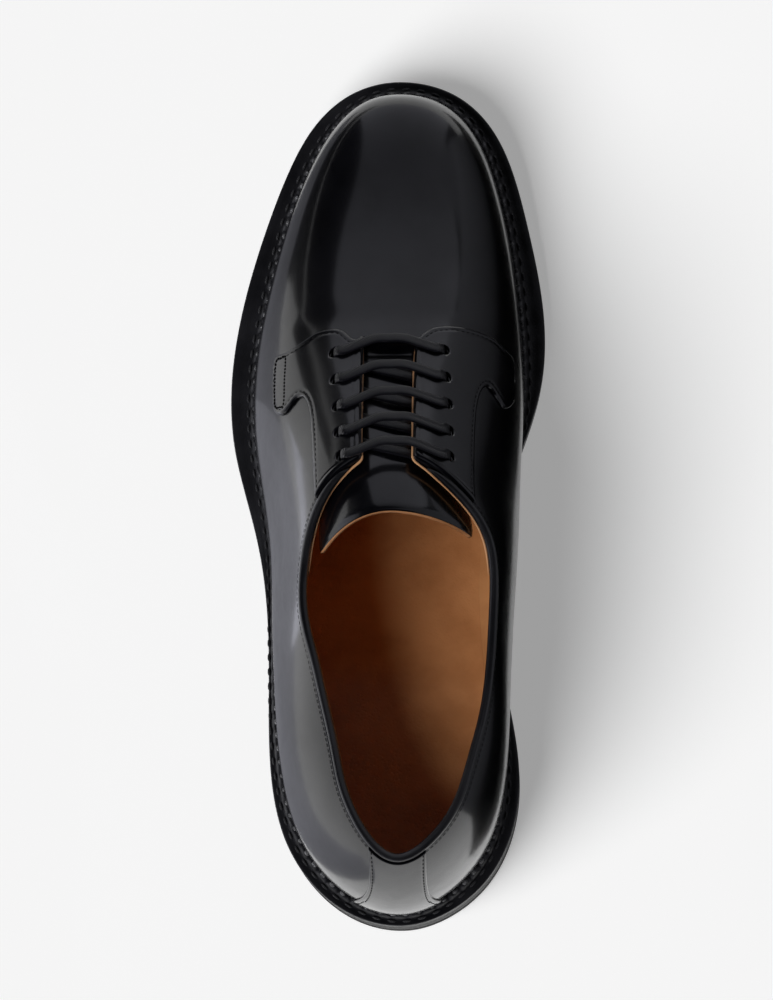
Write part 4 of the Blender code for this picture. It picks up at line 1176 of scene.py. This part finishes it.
welt_black = leather("welt_black", (0.004, 0.004, 0.005), (0.012, 0.012, 0.014), scale=1.5, pores=0.7,
                     dull=0.5, bright=0.36, bump=0.06, coat=0.25, coat_roughness=0.2)
# The welt thread's pale grey strands are a painted highlight: they stand for the glints that light makes on
# its stitches.
welt_thread_painted_glints = make_thread_look("welt_thread_painted_glints", (0.03, 0.03, 0.032), (0.36, 0.36, 0.38), 0.22)
edge_thread = make_thread_look("edge_thread", (0.008, 0.008, 0.009), (0.07, 0.07, 0.075), 0.3)
STITCH_PITCH = 5.35
# The ridge is full where the welt is wide, and lower where the waist leaves it little room
RIDGE_RISE, RIDGE_NOTCH, RIDGE_WIDTH, RIDGE_READ_AT = 1.9, 1.15, 2.4, 2.7
LEAST_WIDTH, FULL_ROOM, LEAST_ROOM = 2.2, 3.0, 0.25


def welt_lines(count):
    """Plan of the welt all round: the sole's edge, the feather line, the upper at the ridge's height, and
    the share of that height for which the width has room."""
    share = np.linspace(0, 1, count)
    found = []
    for side in (1, -1):
        s = share if side == 1 else share[-2:0:-1]
        stations = station_of(s, 0, SOLE_LENGTH)
        edge = np.stack([side * end_round(SOLE_OUTLINE, 1 if side == 1 else 2, stations), stations], -1)
        foot = feather_loop(s, side)[:, :2]
        room = np.clip((np.linalg.norm(edge - foot, axis=-1) - LEAST_WIDTH) / FULL_ROOM, LEAST_ROOM, 1)
        found.append((edge, foot, feather_loop(s, side, RIDGE_READ_AT * room)[:, :2], room))
    return [np.concatenate([a, b]) for a, b in zip(*found)]


def make_welt():
    """Section carried round the shoe: lip, flat ring, groove for the stitches and ridge; the ridge's height
    dips between stitches as a cosine of the way round."""
    edge, foot, wall, room = welt_lines(560)
    outward = unit(edge - foot)
    width = np.linalg.norm(edge - foot, axis=-1)
    clear = np.sum((wall - foot) * outward, -1) + GAP + 0.1
    walk = walked(closed(foot + outward * ((clear + width) / 2)[:, None]))
    whole = walk[-1]
    count = round(whole / STITCH_PITCH)
    notch = 0.5 - 0.5 * np.cos(2 * np.pi * count * walk[:-1] / whole)
    crest = np.minimum(clear + RIDGE_WIDTH, width - 0.9)
    slope = np.minimum(crest + 0.5, width - 0.7)
    ridge = WELT_THICK + GAP + (RIDGE_RISE - RIDGE_NOTCH * notch**2) * room
    over = ridge - WELT_THICK
    # From the sole's edge up and in over lip, groove and ridge: distance from the feather line, height
    levels = [
        (-WALL, 0), (width - 0.6, 0), (width - 0.15, 0.1), (width, 0.45), (width, WELT_THICK - 0.6),
        (width - 0.15, WELT_THICK - 0.18), (width - 0.5, WELT_THICK), ((width + slope) / 2, WELT_THICK - 0.05),
        (slope + 0.25, WELT_THICK - 0.32), (slope, WELT_THICK - 0.1), (crest, WELT_THICK + 0.62 * over),
        (crest * 0.7 + clear * 0.3, WELT_THICK + 0.93 * over), ((clear + crest) / 2 - 0.2, ridge),
        (clear + 0.25, ridge - 0.08), (clear, ridge - 0.35), (GAP + 0.1, WELT_THICK), (-WALL, WELT_THICK),
    ]

    def ring(reach, height):
        plan = foot + outward * np.broadcast_to(reach, width.shape)[:, None]
        z = outsole_top(np.clip(plan[:, 1], 0, SOLE_LENGTH)) + GAP + height
        return closed(np.concatenate([plan, z[:, None]], -1))

    rings = np.stack([ring(reach, height) for reach, height in levels], 1)
    faces = grid_faces(len(rings), len(levels), closed=True)
    put(sheet_mesh("welt_strip", rings.reshape(-1, 3), faces, [welt_black]), "welt")
    tip = closed(unit(np.concatenate([outward * 0.35, 0 * outward[:, :1] + 1], -1)))
    pitch = whole / count
    path = ring((clear + crest) / 2, ridge + 0.05)
    stitches("welt_stitches_inner", path, tip, welt_thread_painted_glints, pitch, length=2.3, width=1.35)
    path = ring(slope + 0.6, WELT_THICK - 0.05)
    stitches("welt_stitches_outer", path, tip, edge_thread, pitch, length=3.2, width=1.0)


make_welt()

# Outsole and heel
# A black outsole with a waxed and ironed edge, over a heel of three lifts and a rubber top piece, all cut
# flush and inked black.

HEEL_LENGTH, BREAST_BOW, TOP_PIECE_THICK, HEEL_LIFTS = 77.0, 4.0, 6.0, 3
STUD_PITCH = 4.2


def slab(name, stations, levels, bow, looks, node_name, columns=25):
    """Solid through like outlines at rising heights: each level is an inset from the sole's edge and a height
    as a function of the station, and its middle is pulled along the shoe by bow."""
    w = np.sin(np.linspace(-np.pi / 2, np.pi / 2, columns))[None, :]
    outer, inner = end_round(SOLE_OUTLINE, 1, stations), end_round(SOLE_OUTLINE, 2, stations)

    def sheet(inset, height):
        a, b = (np.maximum(half - inset * np.minimum(half / ROUNDED_OVER, 1), 0.0) for half in (outer, inner))
        x = (a - b)[:, None] / 2 + (a + b)[:, None] / 2 * w
        pull = 1 - 2 * inset / SOLE_LENGTH
        t = (stations[:, None] - SOLE_LENGTH / 2) * pull + SOLE_LENGTH / 2 + bow[:, None] * (1 - w**2) + 0 * x
        return np.stack([x, t, height(t)], -1)

    sheets = [sheet(inset, height) for inset, height in levels]
    rows = len(stations)
    rim = [(i, 0) for i in range(rows)] + [(rows - 1, j) for j in range(1, columns)]
    rim += [(i, columns - 1) for i in range(rows - 2, -1, -1)] + [(0, j) for j in range(columns - 2, 0, -1)]
    rim = np.array(rim)
    count = rows * columns
    quads = [grid_faces(rows, columns), grid_faces(rows, columns, start=count)]
    points = [sheets[0].reshape(-1, 3), sheets[-1].reshape(-1, 3)]
    walls = np.stack([s[rim[:, 0], rim[:, 1]] for s in sheets])
    quads.append(grid_faces(len(sheets), len(rim), start=2 * count, closed=True))
    points.append(walls.reshape(-1, 3))
    slots = np.repeat([0, 1, 2], [len(q) for q in quads])
    made = sheet_mesh(name, np.concatenate(points), np.concatenate(quads), looks, slots, merge=0.01)
    made.data.set_sharp_from_angle(angle=np.radians(50))
    put(made, node_name)


def level(height):
    return lambda t: height + 0 * t


def above_underside(rise):
    return lambda t: underside(t) + rise


def edge_look(name, roughness, bump):
    """Inked edge: fine lines of the layers along the shoe, burnished with wax."""
    look, tree = blank_material(name)
    where = place_of(tree)
    stretched = node(tree, "Mapping", {"Vector": where, "Scale": (60.0, 60.0, 2600.0)}).outputs[0]
    fibre = noise(tree, stretched, 1.0, 3.0)
    dust = noise(tree, where, 260.0, 4.0)
    colour = blend(tree, ramp(tree, fibre, 0.35, 0.7), (0.0045, 0.0045, 0.005, 1), (0.013, 0.0125, 0.0125, 1))
    rough = calc(tree, "MULTIPLY_ADD", dust, 0.22, roughness)
    surface(tree, colour, rough, relief(tree, fibre, bump, 0.6), Specular_IOR_Level=0.14)
    return look


def tread_look():
    """Black rubber underneath: small studs in rows, flat on top, with a fine mould grain."""
    look, tree = blank_material("tread_rubber")
    where = place_of(tree)
    parts = node(tree, "SeparateXYZ", [where])
    rows = [calc(tree, "PINGPONG", calc(tree, "MULTIPLY", parts.outputs[k], 1 / (STUD_PITCH * MM)), 0.5)
            for k in (0, 1)]
    stud = calc(tree, "MULTIPLY", ramp(tree, rows[0], 0.12, 0.2), ramp(tree, rows[1], 0.12, 0.2))
    grain = noise(tree, where, 1400.0, 3.0)
    height = calc(tree, "MULTIPLY_ADD", grain, 0.08, stud)
    share = calc(tree, "MULTIPLY", stud, grain)
    colour = blend(tree, share, (0.008, 0.008, 0.008, 1), (0.026, 0.026, 0.027, 1))
    rough = calc(tree, "MULTIPLY_ADD", grain, 0.25, 0.55)
    surface(tree, colour, rough, relief(tree, height, 0.6, 0.8))
    return look


ironed_edge = edge_look("ironed_edge", 0.3, 0.03)
lift_edge = edge_look("lift_edge", 0.36, 0.06)
tread = tread_look()


def make_sole():
    """The outsole with a fine groove between its layers, then the heel's lifts with their edges eased, then
    the top piece: each follows the sole's outline."""
    stations = stations_up_to(SOLE_LENGTH, 0, SOLE_LENGTH, 180)
    edge = ((0.9, 0), (0.35, 0.12), (0.05, 0.5), (0, 1.0), (0.25, 1.35), (0.25, 1.5), (0, 1.85),
            (0, OUTSOLE_THICK - 0.9), (0.2, OUTSOLE_THICK - 0.3), (0.5, OUTSOLE_THICK))
    slab("outsole_layer", stations, [(inset, above_underside(rise)) for inset, rise in edge], 0 * stations,
         [tread, tread, ironed_edge], "outsole")
    back = stations_up_to(HEEL_LENGTH, 0, SOLE_LENGTH, 70)
    bow = -BREAST_BOW * (back / HEEL_LENGTH) ** 6
    low = TOP_PIECE_THICK + GAP
    levels = [(0.5, level(low))]
    for k in range(HEEL_LIFTS):
        for f, inset in ((0.06, 0.12), (0.14, 0.0), (0.86, 0.0), (0.94, 0.12), (1.0, 0.4)):
            g = (k + f) / HEEL_LIFTS
            levels.append((inset + 0.15, lambda t, g=g: low + g * (underside(t) - GAP - low)))
    slab("heel_lifts", back, levels, bow, [lift_edge] * 3, "heel_stack")
    edge = ((0.7, 0), (0.2, 0.15), (0, 0.6), (0, TOP_PIECE_THICK - 0.5), (0.15, TOP_PIECE_THICK - 0.15),
            (0.5, TOP_PIECE_THICK))
    slab("heel_rubber", back, [(inset, level(rise)) for inset, rise in edge], bow,
         [tread, lift_edge, lift_edge], "heel_top_piece")


make_sole()
